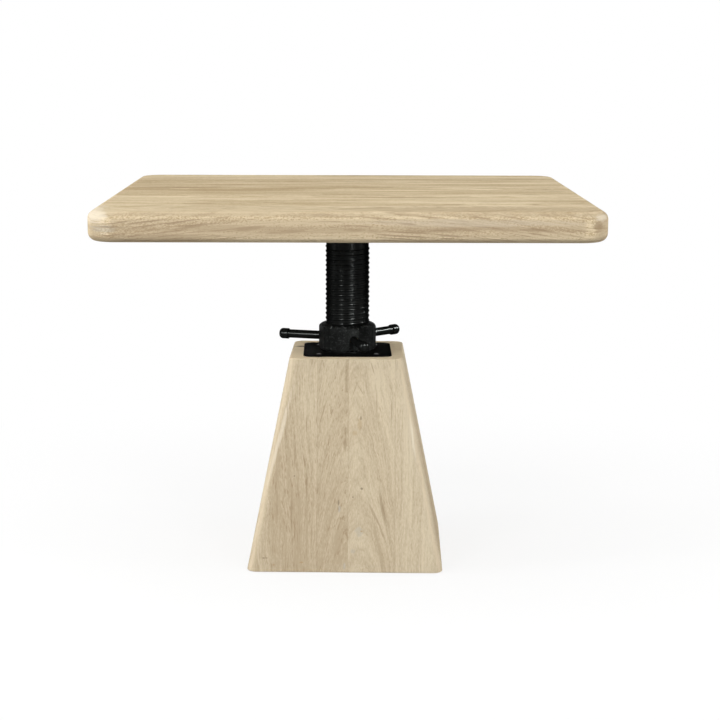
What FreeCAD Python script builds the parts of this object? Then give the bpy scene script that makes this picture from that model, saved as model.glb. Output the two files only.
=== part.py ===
"""Telescoping pedestal table: a square wooden top on a jack screw, a handled nut and a wooden pedestal.

Millimetres. +Z is up, the floor is z = 0, the screw's axis is the Z axis, and the front is -Y.
"""
import FreeCAD, Part
import Sketcher
import enum
import math
import os
import re

# Driving sizes: name, value, what it is.
DRIVING_SIZES = [
    ("top_width", 914, "side of the square top"),
    ("top_thick", 54, "thickness of the top"),
    ("top_corner", 52, "radius of the top's corners, seen from above"),
    ("top_round_upper", 15, "rounding of the top's upper edge"),
    ("top_round_lower", 15, "rounding of the top's lower edge"),
    ("top_boards", 7, "boards in the top"),
    ("screw_shown", 201.2, "screw between the nut and the flange, at rest"),
    ("pedestal_height", 407, "height of the pedestal's wood"),
    ("pedestal_base", 381, "side of the pedestal at the foot"),
    ("pedestal_crown", 221.5, "side of the pedestal at the crown"),
    ("pedestal_turn", -1.6, "degrees that the pedestal stands turned under the top"),
    ("panel_wall", 26, "level thickness of a pedestal panel"),
    ("panel_edge_round", 20, "rounding of the pedestal's slanted edges"),
    ("crown_round", 3, "rounding of the pedestal's crown edge"),
    ("foot_round", 2, "rounding of the pedestal's foot edge"),
    ("seam_left", -55, "first seam in a panel, from its middle"),
    ("seam_middle", 6, "second seam in a panel, from its middle"),
    ("seam_right", 97, "third seam in a panel, from its middle"),
    ("cap_thick", 36, "thickness of the board let in under the plate"),
    ("floor_board_thick", 18, "thickness of the board let in at the foot"),
    ("block_leg", 36, "leg of a corner block's triangle"),
    ("plate_side", 174, "side of the bearing plate"),
    ("plate_corner", 18, "corner radius of the bearing plate"),
    ("plate_turn", 0.3, "degrees that the bearing plate lies turned under the top"),
    ("plate_edge_round", 0.4, "rounding of the bearing plate's upper edge"),
    ("plate_thick", 4, "thickness of the bearing plate"),
    ("plate_sink", 3.4, "depth of the bearing plate's recess in the crown"),
    ("plate_screw_inset", 30.5, "plate screws from the plate's sides"),
    ("plate_screw_radius", 2.4, "shank of a plate screw"),
    ("plate_screw_bite", 28, "plate screw's depth in the wood"),
    ("plate_head_radius", 5, "head of a plate screw"),
    ("plate_head_height", 1, "height of a plate screw's head"),
    ("washer_thick", 2, "thickness of the thrust washer"),
    ("washer_margin", 2, "washer beyond the nut's foot"),
    ("nut_height", 53.4, "height of the nut"),
    ("nut_wall", 9.55, "nut from its thread to its wide flats"),
    ("nut_corner_wall", 12.35, "nut from its thread to its trimmed corners"),
    ("nut_top_rim", 0.8, "level ring around the bore at the nut's top"),
    ("nut_top_round", 14, "rounding of the nut's upper shoulder"),
    ("nut_foot_rim", 5.6, "level ring around the bore at the nut's foot"),
    ("nut_foot_round", 8, "rounding of the nut's lower shoulder"),
    ("handles", 3, "handles on the nut"),
    ("handle_bearing", 43.5, "degrees from +X to the first handle"),
    ("handle_rise", 24.6, "handles above the nut's foot"),
    ("handle_length", 85.7, "handle from the nut to its tip"),
    ("rod_radius", 8.5, "radius of a handle rod"),
    ("rod_seat", 8, "depth of a rod's seat in the nut"),
    ("knob_radius", 10.6, "radius of a knob"),
    ("knob_length", 18.8, "length of a knob"),
    ("knob_round", 7.4, "rounding of a knob's end"),
    ("knob_wall", 6, "knob beyond its rod's end"),
    ("screw_core", 42.25, "radius of the screw under its thread"),
    ("screw_wall", 5, "wall of the hollow screw"),
    ("thread_depth", 1.5, "height of the thread's ridge"),
    ("thread_pitch", 9.6, "rise of the thread in one turn"),
    ("ridge_width", 5.6, "width of the thread's ridge"),
    ("ridge_sink", 0.6, "ridge's root inside the core"),
    ("neck_length", 48, "plain screw under the flange"),
    ("flange_radius", 120, "radius of the flange under the top"),
    ("flange_thick", 6, "thickness of the flange"),
    ("collar_wall", 8, "wall of the flange's collar"),
    ("collar_height", 12, "height of the flange's collar"),
    ("flange_screws", 8, "screws through the flange"),
    ("flange_screw_inset", 20, "flange screws from the flange's rim"),
    ("flange_screw_radius", 2.8, "shank of a flange screw"),
    ("flange_screw_bite", 32, "flange screw's depth in the wood"),
    ("flange_head_radius", 5.5, "head of a flange screw"),
    ("flange_head_height", 3, "height of a flange screw's head"),
    ("head_taper", 0.7, "end of a screw's head, as a share of its radius"),
    ("recess_width", 1.2, "width of a screw head's cross recess"),
    ("lift_up", 240, "travel of the top above its rest height"),
    ("lift_down", 28.8, "travel of the top below its rest height"),
    ("tube_wall", 3, "wall of the guide tube"),
    ("tube_end", 12, "guide tube below its slot"),
    ("pin_radius", 6, "radius of the guide pin"),
    ("pin_tail", 2, "guide pin inside the screw's bore"),
    ("bush_height", 34, "height of the guide bush"),
    ("plug_flange", 4, "thickness of the end plug's flange"),
    ("plug_spigot", 10, "end plug inside the screw's bore"),
    ("plug_gap", 12, "end plug above the floor board at the lowest"),
    ("glide_height", 3, "height of a floor glide"),
    ("glide_sink", 2.2, "depth of a floor glide's seat in the wood"),
    ("glide_radius", 8, "radius of a floor glide"),
    ("glide_inset", 72, "floor glides from the pedestal's corners"),
    ("nail_radius", 1.5, "shank of a glide's nail"),
    ("nail_bite", 14, "nail's depth in the wood"),
    ("nail_head_radius", 3.4, "head of a glide's nail"),
    ("nail_head_height", 1.2, "height of a nail's head"),
    ("nail_head_rise", 0.4, "nail's head above the floor"),
    ("floor_screw_radius", 2, "shank of a floor board screw"),
    ("floor_screw_bite", 16, "floor board screw's depth in its block"),
    ("floor_head_radius", 4.5, "head of a floor board screw"),
    ("floor_head_height", 2.5, "height of a floor board screw's head"),
    ("floor_head_sink", 0.5, "floor board screw's head below the board's face"),
    ("thread_gap", 0.4, "clearance between screw and nut"),
    ("tube_gap", 0.6, "clearance between screw and guide tube"),
    ("bush_gap", 0.4, "clearance between bush and guide tube"),
    ("pin_gap", 0.5, "clearance between pin and slot"),
    ("cap_gap", 0.5, "clearance between cap and guide tube"),
    ("plate_gap", 0.3, "clearance between the bearing plate and its recess"),
    ("fit_gap", 0.1, "clearance of pins, screws, rods and spigots in their holes"),
]

# Sizes worked out from the driving ones: name, formula, what it is.
WORKED_OUT_SIZES = [
    ("wood_foot", "glide_height - glide_sink", "foot of the pedestal's wood"),
    ("wood_crown", "wood_foot + pedestal_height", "crown of the pedestal's wood"),
    ("plate_foot", "wood_crown - plate_sink", "lower face of the bearing plate"),
    ("plate_top", "plate_foot + plate_thick", "upper face of the bearing plate"),
    ("plate_skew", "plate_turn - pedestal_turn", "degrees that the plate lies turned in the crown"),
    ("recess_half", "plate_side / 2 + plate_gap", "half of the bearing plate's recess"),
    ("cap_under", "plate_foot - cap_thick", "lower face of the cap"),
    ("nut_foot", "plate_top + washer_thick", "foot of the nut"),
    ("nut_top", "nut_foot + nut_height", "top of the nut"),
    ("flange_under", "nut_top + screw_shown", "lower face of the flange"),
    ("top_under", "flange_under + flange_thick", "lower face of the boards"),
    ("flange_screw_circle", "flange_radius - flange_screw_inset", "radius of the circle of flange screws"),
    ("board_width", "top_width / top_boards", "width of one board"),
    ("panel_slope", "(pedestal_base - pedestal_crown) / 2 / pedestal_height", "lean of a panel"),
    ("hollow_foot", "pedestal_base / 2 - panel_wall", "half of the hollow at the foot"),
    ("hollow_crown", "pedestal_crown / 2 + panel_slope * plate_sink - panel_wall",
     "half of the hollow under the bearing plate"),
    ("hollow_cap", "hollow_crown + panel_slope * cap_thick", "half of the hollow under the cap"),
    ("hollow_floor", "hollow_foot - panel_slope * floor_board_thick", "half of the hollow at the board"),
    ("floor_board_top", "wood_foot + floor_board_thick", "upper face of the floor board"),
    ("floor_screw_reach", "hollow_floor - block_leg / 3", "floor board screws from the axis"),
    ("glide_line", "pedestal_base / 2 - panel_wall / 2", "floor glides out from the axis"),
    ("glide_reach", "pedestal_base / 2 - glide_inset", "floor glides from the middle of their panel"),
    ("plate_screw_reach", "plate_side / 2 - plate_screw_inset", "plate screws from the axis"),
    ("pilot_x", "plate_screw_reach * (cos(plate_skew * 1 deg) - sin(plate_skew * 1 deg))",
     "plate screw across the cap"),
    ("pilot_y", "plate_screw_reach * (cos(plate_skew * 1 deg) + sin(plate_skew * 1 deg))",
     "plate screw along the cap"),
    ("nail_head_top", "nail_head_rise + nail_head_height", "upper face of a nail's head"),
    ("thread_crest", "screw_core + thread_depth", "outer radius of the thread"),
    ("screw_bore", "screw_core - screw_wall", "inner radius of the screw"),
    ("nut_bore", "screw_core + thread_gap", "inner radius of the nut"),
    ("nut_groove", "thread_crest + thread_gap", "outer radius of the nut's inner thread"),
    ("nut_land", "nut_groove + nut_top_rim", "outer radius of the nut's level top"),
    ("nut_foot_radius", "nut_groove + nut_foot_rim", "outer radius of the nut's level foot"),
    ("nut_side", "nut_groove + nut_corner_wall", "nut's trimmed corners from the axis"),
    ("nut_tip", "(nut_groove + nut_wall) / cos(30 deg)", "nut's corners before they are trimmed"),
    ("handle_reach", "nut_side + handle_length", "handle's tip from the axis"),
    ("knob_start", "handle_reach - knob_length", "knob's inner end from the axis"),
    ("rod_start", "nut_side - rod_seat", "rod's inner end from the axis"),
    ("tube_bore", "thread_crest + tube_gap", "inner radius of the guide tube"),
    ("tube_outer", "tube_bore + tube_wall", "outer radius of the guide tube"),
    ("bush_outer", "tube_bore - bush_gap", "outer radius of the guide bush"),
    ("plug_low", "floor_board_top + plug_gap + lift_down", "lower face of the end plug at rest"),
    ("screw_low", "plug_low + plug_flange", "lower end of the screw at rest"),
    ("bush_top", "screw_low + bush_height", "upper end of the guide bush at rest"),
    ("pin_height", "screw_low + bush_height / 2", "guide pin's height at rest"),
    ("slot_low", "pin_height - lift_down - pin_radius - pin_gap", "lower end of the guide slot"),
    ("slot_high", "pin_height + lift_up + pin_radius + pin_gap", "upper end of the guide slot"),
    ("tube_low", "slot_low - tube_end", "lower end of the guide tube"),
    ("turns_under", "floor((nut_foot - bush_top - ridge_width) / thread_pitch)", "turns below the nut"),
    ("thread_low", "nut_foot - turns_under * thread_pitch", "lower end of the thread"),
    ("thread_length", "flange_under - neck_length - thread_low", "length of the thread"),
]

PANELS = ["front", "right", "back", "left"]
FOUR = str(len(PANELS))
NUT_SIDES = "6"
QUARTER_TURN = 90
FULL_TURN = 360
EIGHTH_TURN = QUARTER_TURN / 2
RUN_OUT_TURNS = 2
ROUND_OFF = 1e-4

# Turns of a shape before it is placed: its Y axis points up, or its Z axis points along +Y or +X.
STANDING = "rotationx(90 deg)"
ACROSS = "rotationx(-90 deg)"
LYING = "rotationy(90 deg)"

BOX_SPANS = ("Length", "Width", "Height")
PIN_SPOT = ("0", "0", "pin_height")
GLIDE_SIDES = {"left": "-glide_reach", "right": "glide_reach"}

# Both directions in which a sketch's point can be held.
BOTH_AXES = ("DistanceX", "DistanceY")

# The pedestal's pieces share its turn under the top.
TURNED = "pedestal_turn"

SIZE_NAMES = {row[0] for row in DRIVING_SIZES + WORKED_OUT_SIZES}


class SketchPoint(enum.IntEnum):
    """The numbers by which a sketch knows the points of a side, and the line that holds its origin."""

    START = 1
    END = 2
    CENTRE = 3
    ORIGIN_LINE = -1


document = FreeCAD.newDocument("pedestal_table")
sheet = document.addObject("Spreadsheet::Sheet", "sizes")


def fill_sheet():
    """Write every size into the sheet, one to a row, with its name as the cell's alias."""
    rows = [(name, str(value), note) for name, value, note in DRIVING_SIZES]
    rows += [(name, f"={text}", note) for name, text, note in WORKED_OUT_SIZES]
    for row, (name, content, note) in enumerate(rows, start=1):
        sheet.set(f"A{row}", note)
        sheet.set(f"B{row}", content)
        sheet.setAlias(f"B{row}", name)
    document.recompute()


def formula(text):
    """The same formula with each size's name pointing at the sheet."""
    return re.sub("[a-z_]+", lambda word: f"sizes.{word[0]}" if word[0] in SIZE_NAMES else word[0], text)


def value_of(text):
    """The number that a formula gives with the sheet's present sizes."""
    return float(sheet.evalExpression(formula(text)))


def place(x="0", y="0", z="0", turn="0", tilt=None):
    """A placement: a shift, a turn about Z in degrees, and first a tilt about X or Y."""
    spin = f"rotationz(({turn}) * 1 deg)"
    if tilt:
        spin += f" * {tilt}"
    return formula(f"placement(vector({x}; {y}; {z}); {spin})")


def new_body(label, at=None, several=False):
    """An empty body; one that is a group of separate solids says so."""
    body = document.addObject("PartDesign::Body", label)
    body.Label = label
    body.AllowCompound = several
    if at:
        body.setExpression("Placement", at)
    return body


def add(body, kind, name, sizes, at=None):
    """Add a feature to a body, with its sizes and its placement bound to the sheet."""
    feature = body.newObject(f"PartDesign::{kind}", name)
    for size, text in sizes.items():
        feature.setExpression(size, formula(text))
    if at:
        feature.setExpression("Placement", at)
    return feature


def add_solid(body, shape, name, sizes, at, cut=False):
    """Add or cut a simple shape."""
    return add(body, f"{'Subtractive' if cut else 'Additive'}{shape}", name, sizes, at)


def add_wedge(body, name, low, high, foot_half, crown_half, turn="0", cut=False):
    """Add or cut a square block whose sides lean evenly from its foot to its crown."""
    sizes = {"Ymin": low, "Ymax": high}
    for axis in "XZ":
        sizes[f"{axis}min"] = f"-({foot_half})"
        sizes[f"{axis}max"] = foot_half
        sizes[f"{axis}2min"] = f"-({crown_half})"
        sizes[f"{axis}2max"] = crown_half
    return add_solid(body, "Wedge", name, sizes, place(turn=turn, tilt=STANDING), cut)


def add_cylinder(body, name, radius, height, spot=("0", "0", "0"), tilt=None, cut=False):
    """Add or cut a cylinder that starts at a spot and runs up, or along a tilted axis."""
    sizes = {"Radius": radius, "Height": height}
    return add_solid(body, "Cylinder", name, sizes, place(*spot, tilt=tilt), cut)


def add_box(body, name, low_corner, spans, cut=False):
    """Add or cut a box from its low corner and its three spans."""
    return add_solid(body, "Box", name, dict(zip(BOX_SPANS, spans)), place(*low_corner), cut)


def add_screw_head(body, name, spot, low_radius, high_radius, height):
    """Add a tapered screw head."""
    sizes = {"Radius1": low_radius, "Radius2": high_radius, "Height": height}
    return add_solid(body, "Cone", name, sizes, place(*spot))


def cut_cross_recess(body, name, spot, reach, depth):
    """Cut a cross into a screw's head."""
    x, y, z = spot
    cuts = []
    for side, (wide, deep) in enumerate(((reach, "recess_width"), ("recess_width", reach))):
        corner = (f"{x} - {wide} / 2", f"{y} - {deep} / 2", z)
        cuts.append(add_box(body, f"{name}_{side}", corner, (wide, deep, depth), cut=True))
    return cuts


def add_fillet(body, base, name, radius, is_chosen):
    """Round the chosen edges of a body's last feature."""
    document.recompute()
    edges = [f"Edge{k}" for k, edge in enumerate(base.Shape.Edges, start=1) if is_chosen(edge)]
    fillet = body.newObject("PartDesign::Fillet", name)
    fillet.Base = (base, edges)
    fillet.setExpression("Radius", formula(radius))
    return fillet


def add_ring(body, name, originals, copies):
    """Repeat features in a full circle about the Z axis."""
    document.recompute()
    pattern = body.newObject("PartDesign::PolarPattern", name)
    pattern.Originals = originals
    pattern.Axis = (origin_feature(body, "Z_Axis"), [""])
    pattern.Angle = FULL_TURN
    pattern.setExpression("Occurrences", formula(copies))
    body.Tip = pattern
    return pattern


def origin_feature(body, role):
    """A body's own origin plane or axis."""
    return next(feature for feature in body.Origin.OriginFeatures if feature.Role == role)


def upright(edge):
    """Whether an edge climbs from its start to its end."""
    heights = [vertex.Point.z for vertex in edge.Vertexes]
    return max(heights) - min(heights) > ROUND_OFF


def plumb(edge):
    """Whether an edge climbs straight up."""
    start, end = (vertex.Point for vertex in (edge.Vertexes[0], edge.Vertexes[-1]))
    return upright(edge) and math.hypot(end.x - start.x, end.y - start.y) < ROUND_OFF


def level_at(height):
    """A test for edges that lie wholly at one height."""
    level = value_of(height)
    return lambda edge: all(abs(vertex.Point.z - level) < ROUND_OFF for vertex in edge.Vertexes)


def new_sketch(body, name, role):
    """An empty sketch on one of the body's own planes."""
    sketch = body.newObject("Sketcher::SketchObject", name)
    sketch.AttachmentSupport = [(origin_feature(body, role), "")]
    sketch.MapMode = "FlatFace"
    return sketch


def draw_outline(sketch, corners, arcs=()):
    """Draw a closed outline, each corner held at its own two formulas.

    An arc is (start corner's number, centre) and bends the side that leaves that corner, turning left.
    """
    bends = dict(arcs)
    points = [FreeCAD.Vector(value_of(across), value_of(up), 0) for across, up in corners]
    for k, point in enumerate(points):
        following = points[(k + 1) % len(points)]
        if k in bends:
            add_arc(sketch, point, following, bends[k])
        else:
            sketch.addGeometry(Part.LineSegment(point, following))
    for k, corner in enumerate(corners):
        add_constraint(sketch, "Coincident", k, SketchPoint.END, (k + 1) % len(corners), SketchPoint.START)
        centre = bends.get((k - 1) % len(corners))
        axes = free_axes(points[k], centre) if centre else BOTH_AXES
        hold_point(sketch, k, SketchPoint.START, corner, axes)


def add_arc(sketch, start, end, centre):
    """Add an arc that turns left about a centre, and hold that centre."""
    middle = FreeCAD.Vector(value_of(centre[0]), value_of(centre[1]), 0)
    angles = [math.atan2(point.y - middle.y, point.x - middle.x) for point in (start, end)]
    circle = Part.Circle(middle, FreeCAD.Vector(0, 0, 1), (start - middle).Length)
    number = sketch.addGeometry(Part.ArcOfCircle(circle, *angles))
    hold_point(sketch, number, SketchPoint.CENTRE, centre)


def free_axes(end, centre):
    """The one direction in which an arc's far end still has to be held, as its radius sets the other."""
    across = abs(end.x - value_of(centre[0]))
    along = abs(end.y - value_of(centre[1]))
    return BOTH_AXES[:1] if along > across else BOTH_AXES[1:]


def add_constraint(sketch, kind, *values):
    """Add one constraint to a sketch and give its number."""
    return sketch.addConstraint(Sketcher.Constraint(kind, *values))


def hold_point(sketch, side, end, corner, axes=BOTH_AXES):
    """Hold a point at its formulas, in both directions or in one."""
    for kind, text in zip(BOTH_AXES, corner):
        if kind in axes:
            number = add_constraint(sketch, kind, SketchPoint.ORIGIN_LINE, SketchPoint.START, side, end,
                                    value_of(text))
            sketch.setExpression(f"Constraints[{number}]", formula(text))


def turn_outline(body, kind, name, corners, arcs=()):
    """Add a solid, a groove or a thread: an outline in the XZ plane that goes round the Z axis."""
    sketch = new_sketch(body, f"{name}_outline", "XZ_Plane")
    draw_outline(sketch, corners, arcs)
    feature = body.newObject(f"PartDesign::{kind}", name)
    feature.Profile = sketch
    feature.ReferenceAxis = (sketch, ["V_Axis"])
    return feature


def add_hoop(body, name, inner, outer, low, high):
    """Add a ring with a rectangular section."""
    corners = [(inner, low), (outer, low), (outer, high), (inner, high)]
    return turn_outline(body, "Revolution", name, corners)


def wind_thread(body, kind, name, gap, low, length):
    """Wind the thread's round-crested ridge, grown by a gap, around the Z axis."""
    half = f"(ridge_width / 2 + {gap})"
    root = "screw_core - ridge_sink"
    flank = f"screw_core + {gap}"
    arc_radius = f"({half} * {half} + thread_depth * thread_depth) / (2 * thread_depth)"
    below, above = f"{low} - {half}", f"{low} + {half}"
    corners = [(root, below), (flank, below), (flank, above), (root, above)]
    centre = (f"thread_crest + {gap} - {arc_radius}", low)
    thread = turn_outline(body, kind, name, corners, [(1, centre)])
    thread.Mode = "pitch-height-angle"
    thread.setExpression("Pitch", formula("thread_pitch"))
    thread.setExpression("Height", formula(length))
    body.Tip = thread


def common_of(label, shapes, at):
    """The piece that several shapes share."""
    piece = document.addObject("Part::MultiCommon", label)
    piece.Label = label
    piece.Shapes = shapes
    piece.setExpression("Placement", at)
    return piece


def cutting_box(name, low_corner, spans, turn="0"):
    """A box that only cuts other shapes."""
    box = document.addObject("Part::Box", name)
    for size, text in zip(BOX_SPANS, spans):
        box.setExpression(size, formula(text))
    box.setExpression("Placement", place(*low_corner, turn=turn))
    return box


def make_top_boards():
    """The top: one slab with rounded corners and edges, sawn into boards that run from side to side."""
    slab = new_body("slab")
    edge = "-top_width / 2"
    block = add_box(slab, "slab_block", (edge, edge, "top_under"), ("top_width", "top_width", "top_thick"))
    corners = add_fillet(slab, block, "slab_corners", "top_corner", upright)
    upper = add_fillet(slab, corners, "slab_upper", "top_round_upper", level_at("top_under + top_thick"))
    add_fillet(slab, upper, "slab_lower", "top_round_lower", level_at("top_under"))
    pilot = add_cylinder(slab, "slab_pilot", "flange_screw_radius + fit_gap", "flange_screw_bite + fit_gap",
                         ("flange_screw_circle", "0", "top_under"), cut=True)
    add_ring(slab, "slab_pilots", [pilot], "flange_screws")
    boards = []
    for k in range(int(value_of("top_boards"))):
        low_corner = ("-top_width", f"{edge} + board_width * {k}", "top_under")
        strip = cutting_box(f"board_strip_{k + 1}", low_corner, ("2 * top_width", "board_width", "top_thick"))
        boards.append(common_of(f"top_board_{k + 1}", [slab, strip], place()))
    return boards


def make_shell():
    """The pedestal before it is sawn: a hollow leaning block with a recess in its crown for the plate.

    Its foot has seats for the glides and holes for their nails.
    """
    shell = new_body("shell")
    foot, crown = "wood_foot", "wood_crown"
    outside = add_wedge(shell, "shell_outside", foot, crown, "pedestal_base / 2", "pedestal_crown / 2")
    edges = add_fillet(shell, outside, "shell_edges", "panel_edge_round", upright)
    rim = add_fillet(shell, edges, "shell_crown", "crown_round", level_at(crown))
    add_fillet(shell, rim, "shell_foot", "foot_round", level_at(foot))
    recess = add_wedge(shell, "shell_recess", "plate_foot", crown, "recess_half", "recess_half",
                       "plate_skew", cut=True)
    add_fillet(shell, recess, "shell_recess_corners", "plate_corner + plate_gap", plumb)
    add_wedge(shell, "shell_hollow", foot, "plate_foot", "hollow_foot", "hollow_crown", cut=True)
    holes = []
    for side, x in GLIDE_SIDES.items():
        spot = (x, "-glide_line", foot)
        holes += [
            add_cylinder(shell, f"shell_seat_{side}", "glide_radius + fit_gap", "glide_sink", spot, cut=True),
            add_cylinder(shell, f"shell_nail_{side}", "nail_radius + fit_gap",
                         "glide_sink + nail_bite + fit_gap", spot, cut=True),
        ]
    add_ring(shell, "shell_nails", holes, FOUR)
    return shell


def make_staves():
    """The shell, mitred into four panels of four staves."""
    shell = make_shell()
    reach, tall = "pedestal_base", "wood_crown"
    mitre = f"-{QUARTER_TURN + EIGHTH_TURN}"
    quarter = cutting_box("panel_quarter", ("0", "0", "0"), (reach, reach, tall), mitre)
    seams = [f"-{reach}", "seam_left", "seam_middle", "seam_right", reach]
    strips = [
        cutting_box(f"stave_strip_{k + 1}", (left, f"-{reach}", "0"), (f"({right}) - ({left})", reach, tall))
        for k, (left, right) in enumerate(zip(seams, seams[1:]))
    ]
    return [
        common_of(f"stave_{panel}_{k + 1}", [shell, quarter, strip],
                  place(turn=f"{side * QUARTER_TURN} + {TURNED}"))
        for side, panel in enumerate(PANELS)
        for k, strip in enumerate(strips)
    ]


def make_cap():
    """The thick board let in under the plate, bored for the guide tube and the plate's screws."""
    cap = new_body("pedestal_cap", place(turn=TURNED))
    add_wedge(cap, "cap_board", "cap_under", "plate_foot", "hollow_cap", "hollow_crown")
    add_cylinder(cap, "cap_bore", "tube_outer + cap_gap", "cap_thick", ("0", "0", "cap_under"), cut=True)
    depth = "plate_screw_bite + fit_gap"
    pilot = add_cylinder(cap, "cap_pilot", "plate_screw_radius + fit_gap", depth,
                         ("pilot_x", "pilot_y", f"plate_foot - ({depth})"), cut=True)
    add_ring(cap, "cap_pilots", [pilot], FOUR)
    return cap


def make_floor_board():
    """The board let in at the foot, with sunk seats for its screws."""
    board = new_body("floor_board", place(turn=TURNED))
    add_wedge(board, "floor_plank", "wood_foot", "floor_board_top", "hollow_foot", "hollow_floor")
    spot = ("floor_screw_reach", "floor_screw_reach", "wood_foot")
    hole = add_cylinder(board, "floor_hole", "floor_screw_radius + fit_gap", "floor_board_thick",
                        spot, cut=True)
    seat = add_cylinder(board, "floor_seat", "floor_head_radius + fit_gap",
                        "floor_head_height + floor_head_sink", spot, cut=True)
    add_ring(board, "floor_holes", [hole, seat], FOUR)
    return board


def make_corner_block(k):
    """One glue block: a triangle that follows the leaning inner corner from floor board to cap."""
    block = new_body(f"corner_block_{k + 1}", place(turn=f"{k * QUARTER_TURN} + {TURNED}"))
    triangle = new_sketch(block, f"block_triangle_{k + 1}", "XY_Plane")
    triangle.setExpression("AttachmentOffset", place(z="floor_board_top"))
    outer, inner = "hollow_floor", "hollow_floor - block_leg"
    draw_outline(triangle, [(outer, outer), (inner, outer), (outer, inner)])
    pad = add(block, "Pad", f"block_pad_{k + 1}", {"Length": "cap_under - floor_board_top"})
    pad.Profile = triangle
    pad.UseCustomVector = True
    pad.AlongSketchNormal = True
    for axis, lean in (("x", "-panel_slope"), ("y", "-panel_slope"), ("z", "1")):
        pad.setExpression(f"Direction.{axis}", formula(lean))
    add_cylinder(block, f"block_pilot_{k + 1}", "floor_screw_radius + fit_gap", "floor_screw_bite + fit_gap",
                 ("floor_screw_reach", "floor_screw_reach", "floor_board_top"), cut=True)
    return block


def make_plate():
    """The bearing plate, let into the crown."""
    plate = new_body("bearing_plate", place(turn="plate_turn"))
    edge = "-plate_side / 2"
    block = add_box(plate, "plate_block", (edge, edge, "plate_foot"),
                    ("plate_side", "plate_side", "plate_thick"))
    corners = add_fillet(plate, block, "plate_corners", "plate_corner", upright)
    add_fillet(plate, corners, "plate_edge", "plate_edge_round", level_at("plate_top"))
    add_cylinder(plate, "plate_bore", "tube_bore", "plate_thick", ("0", "0", "plate_foot"), cut=True)
    hole = add_cylinder(plate, "plate_hole", "plate_screw_radius + fit_gap", "plate_thick",
                        ("plate_screw_reach", "plate_screw_reach", "plate_foot"), cut=True)
    add_ring(plate, "plate_holes", [hole], FOUR)
    return plate


def make_plate_screws():
    """The four screws through the plate into the cap."""
    screws = new_body("plate_screws", place(turn="plate_turn"), several=True)
    x, y = "plate_screw_reach", "plate_screw_reach"
    shank = add_cylinder(screws, "plate_shank", "plate_screw_radius", "plate_screw_bite + plate_thick",
                         (x, y, "plate_foot - plate_screw_bite"))
    head = add_screw_head(screws, "plate_head", (x, y, "plate_top"), "plate_head_radius",
                          "plate_head_radius * head_taper", "plate_head_height")
    recess = cut_cross_recess(screws, "plate_recess", (x, y, "plate_top + plate_head_height / 2"),
                              "plate_head_radius", "plate_head_height")
    add_ring(screws, "plate_screw_ring", [shank, head] + recess, FOUR)
    return screws


def make_washer():
    """The ring that the nut turns on."""
    washer = new_body("thrust_washer")
    add_hoop(washer, "washer_hoop", "tube_bore", "nut_foot_radius + washer_margin", "plate_top", "nut_foot")
    return washer


def make_guide_tube():
    """The tube under the plate, with the slot that the guide pin slides in."""
    tube = new_body("guide_tube")
    add_hoop(tube, "tube_hoop", "tube_bore", "tube_outer", "tube_low", "plate_foot")
    width = "2 * (pin_radius + pin_gap)"
    add_box(tube, "tube_slot", (f"-({width}) / 2", "0", "slot_low"),
            (width, "2 * tube_outer", "slot_high - slot_low"), cut=True)
    return tube


def make_floor_screws():
    """The four screws through the floor board into the corner blocks."""
    screws = new_body("floor_screws", place(turn=TURNED), several=True)
    low = "wood_foot + floor_head_sink"
    spot = ("floor_screw_reach", "floor_screw_reach", low)
    head = add_cylinder(screws, "floor_head", "floor_head_radius", "floor_head_height", spot)
    shank = add_cylinder(screws, "floor_shank", "floor_screw_radius",
                         f"floor_board_top + floor_screw_bite - ({low})", spot)
    recess = cut_cross_recess(screws, "floor_recess", spot, "floor_head_radius", "floor_head_height / 2")
    add_ring(screws, "floor_screw_ring", [head, shank] + recess, FOUR)
    return screws


def make_glides():
    """The glides under the staves, two to a panel."""
    glides = new_body("floor_glides", place(turn=TURNED), several=True)
    features = []
    for side, x in GLIDE_SIDES.items():
        spot = (x, "-glide_line", "0")
        features += [
            add_cylinder(glides, f"glide_{side}", "glide_radius", "glide_height", spot),
            add_cylinder(glides, f"glide_hole_{side}", "nail_radius + fit_gap", "glide_height",
                         spot, cut=True),
            add_cylinder(glides, f"glide_seat_{side}", "nail_head_radius + fit_gap", "nail_head_top",
                         spot, cut=True),
        ]
    add_ring(glides, "glide_ring", features, FOUR)
    return glides


def make_nails():
    """The glides' nails."""
    nails = new_body("glide_nails", place(turn=TURNED), several=True)
    features = []
    for side, x in GLIDE_SIDES.items():
        spot = (x, "-glide_line", "nail_head_rise")
        features += [
            add_cylinder(nails, f"nail_head_{side}", "nail_head_radius", "nail_head_height", spot),
            add_cylinder(nails, f"nail_shank_{side}", "nail_radius",
                         "glide_height + nail_bite - nail_head_rise", spot),
        ]
    add_ring(nails, "nail_ring", features, FOUR)
    return nails


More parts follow.
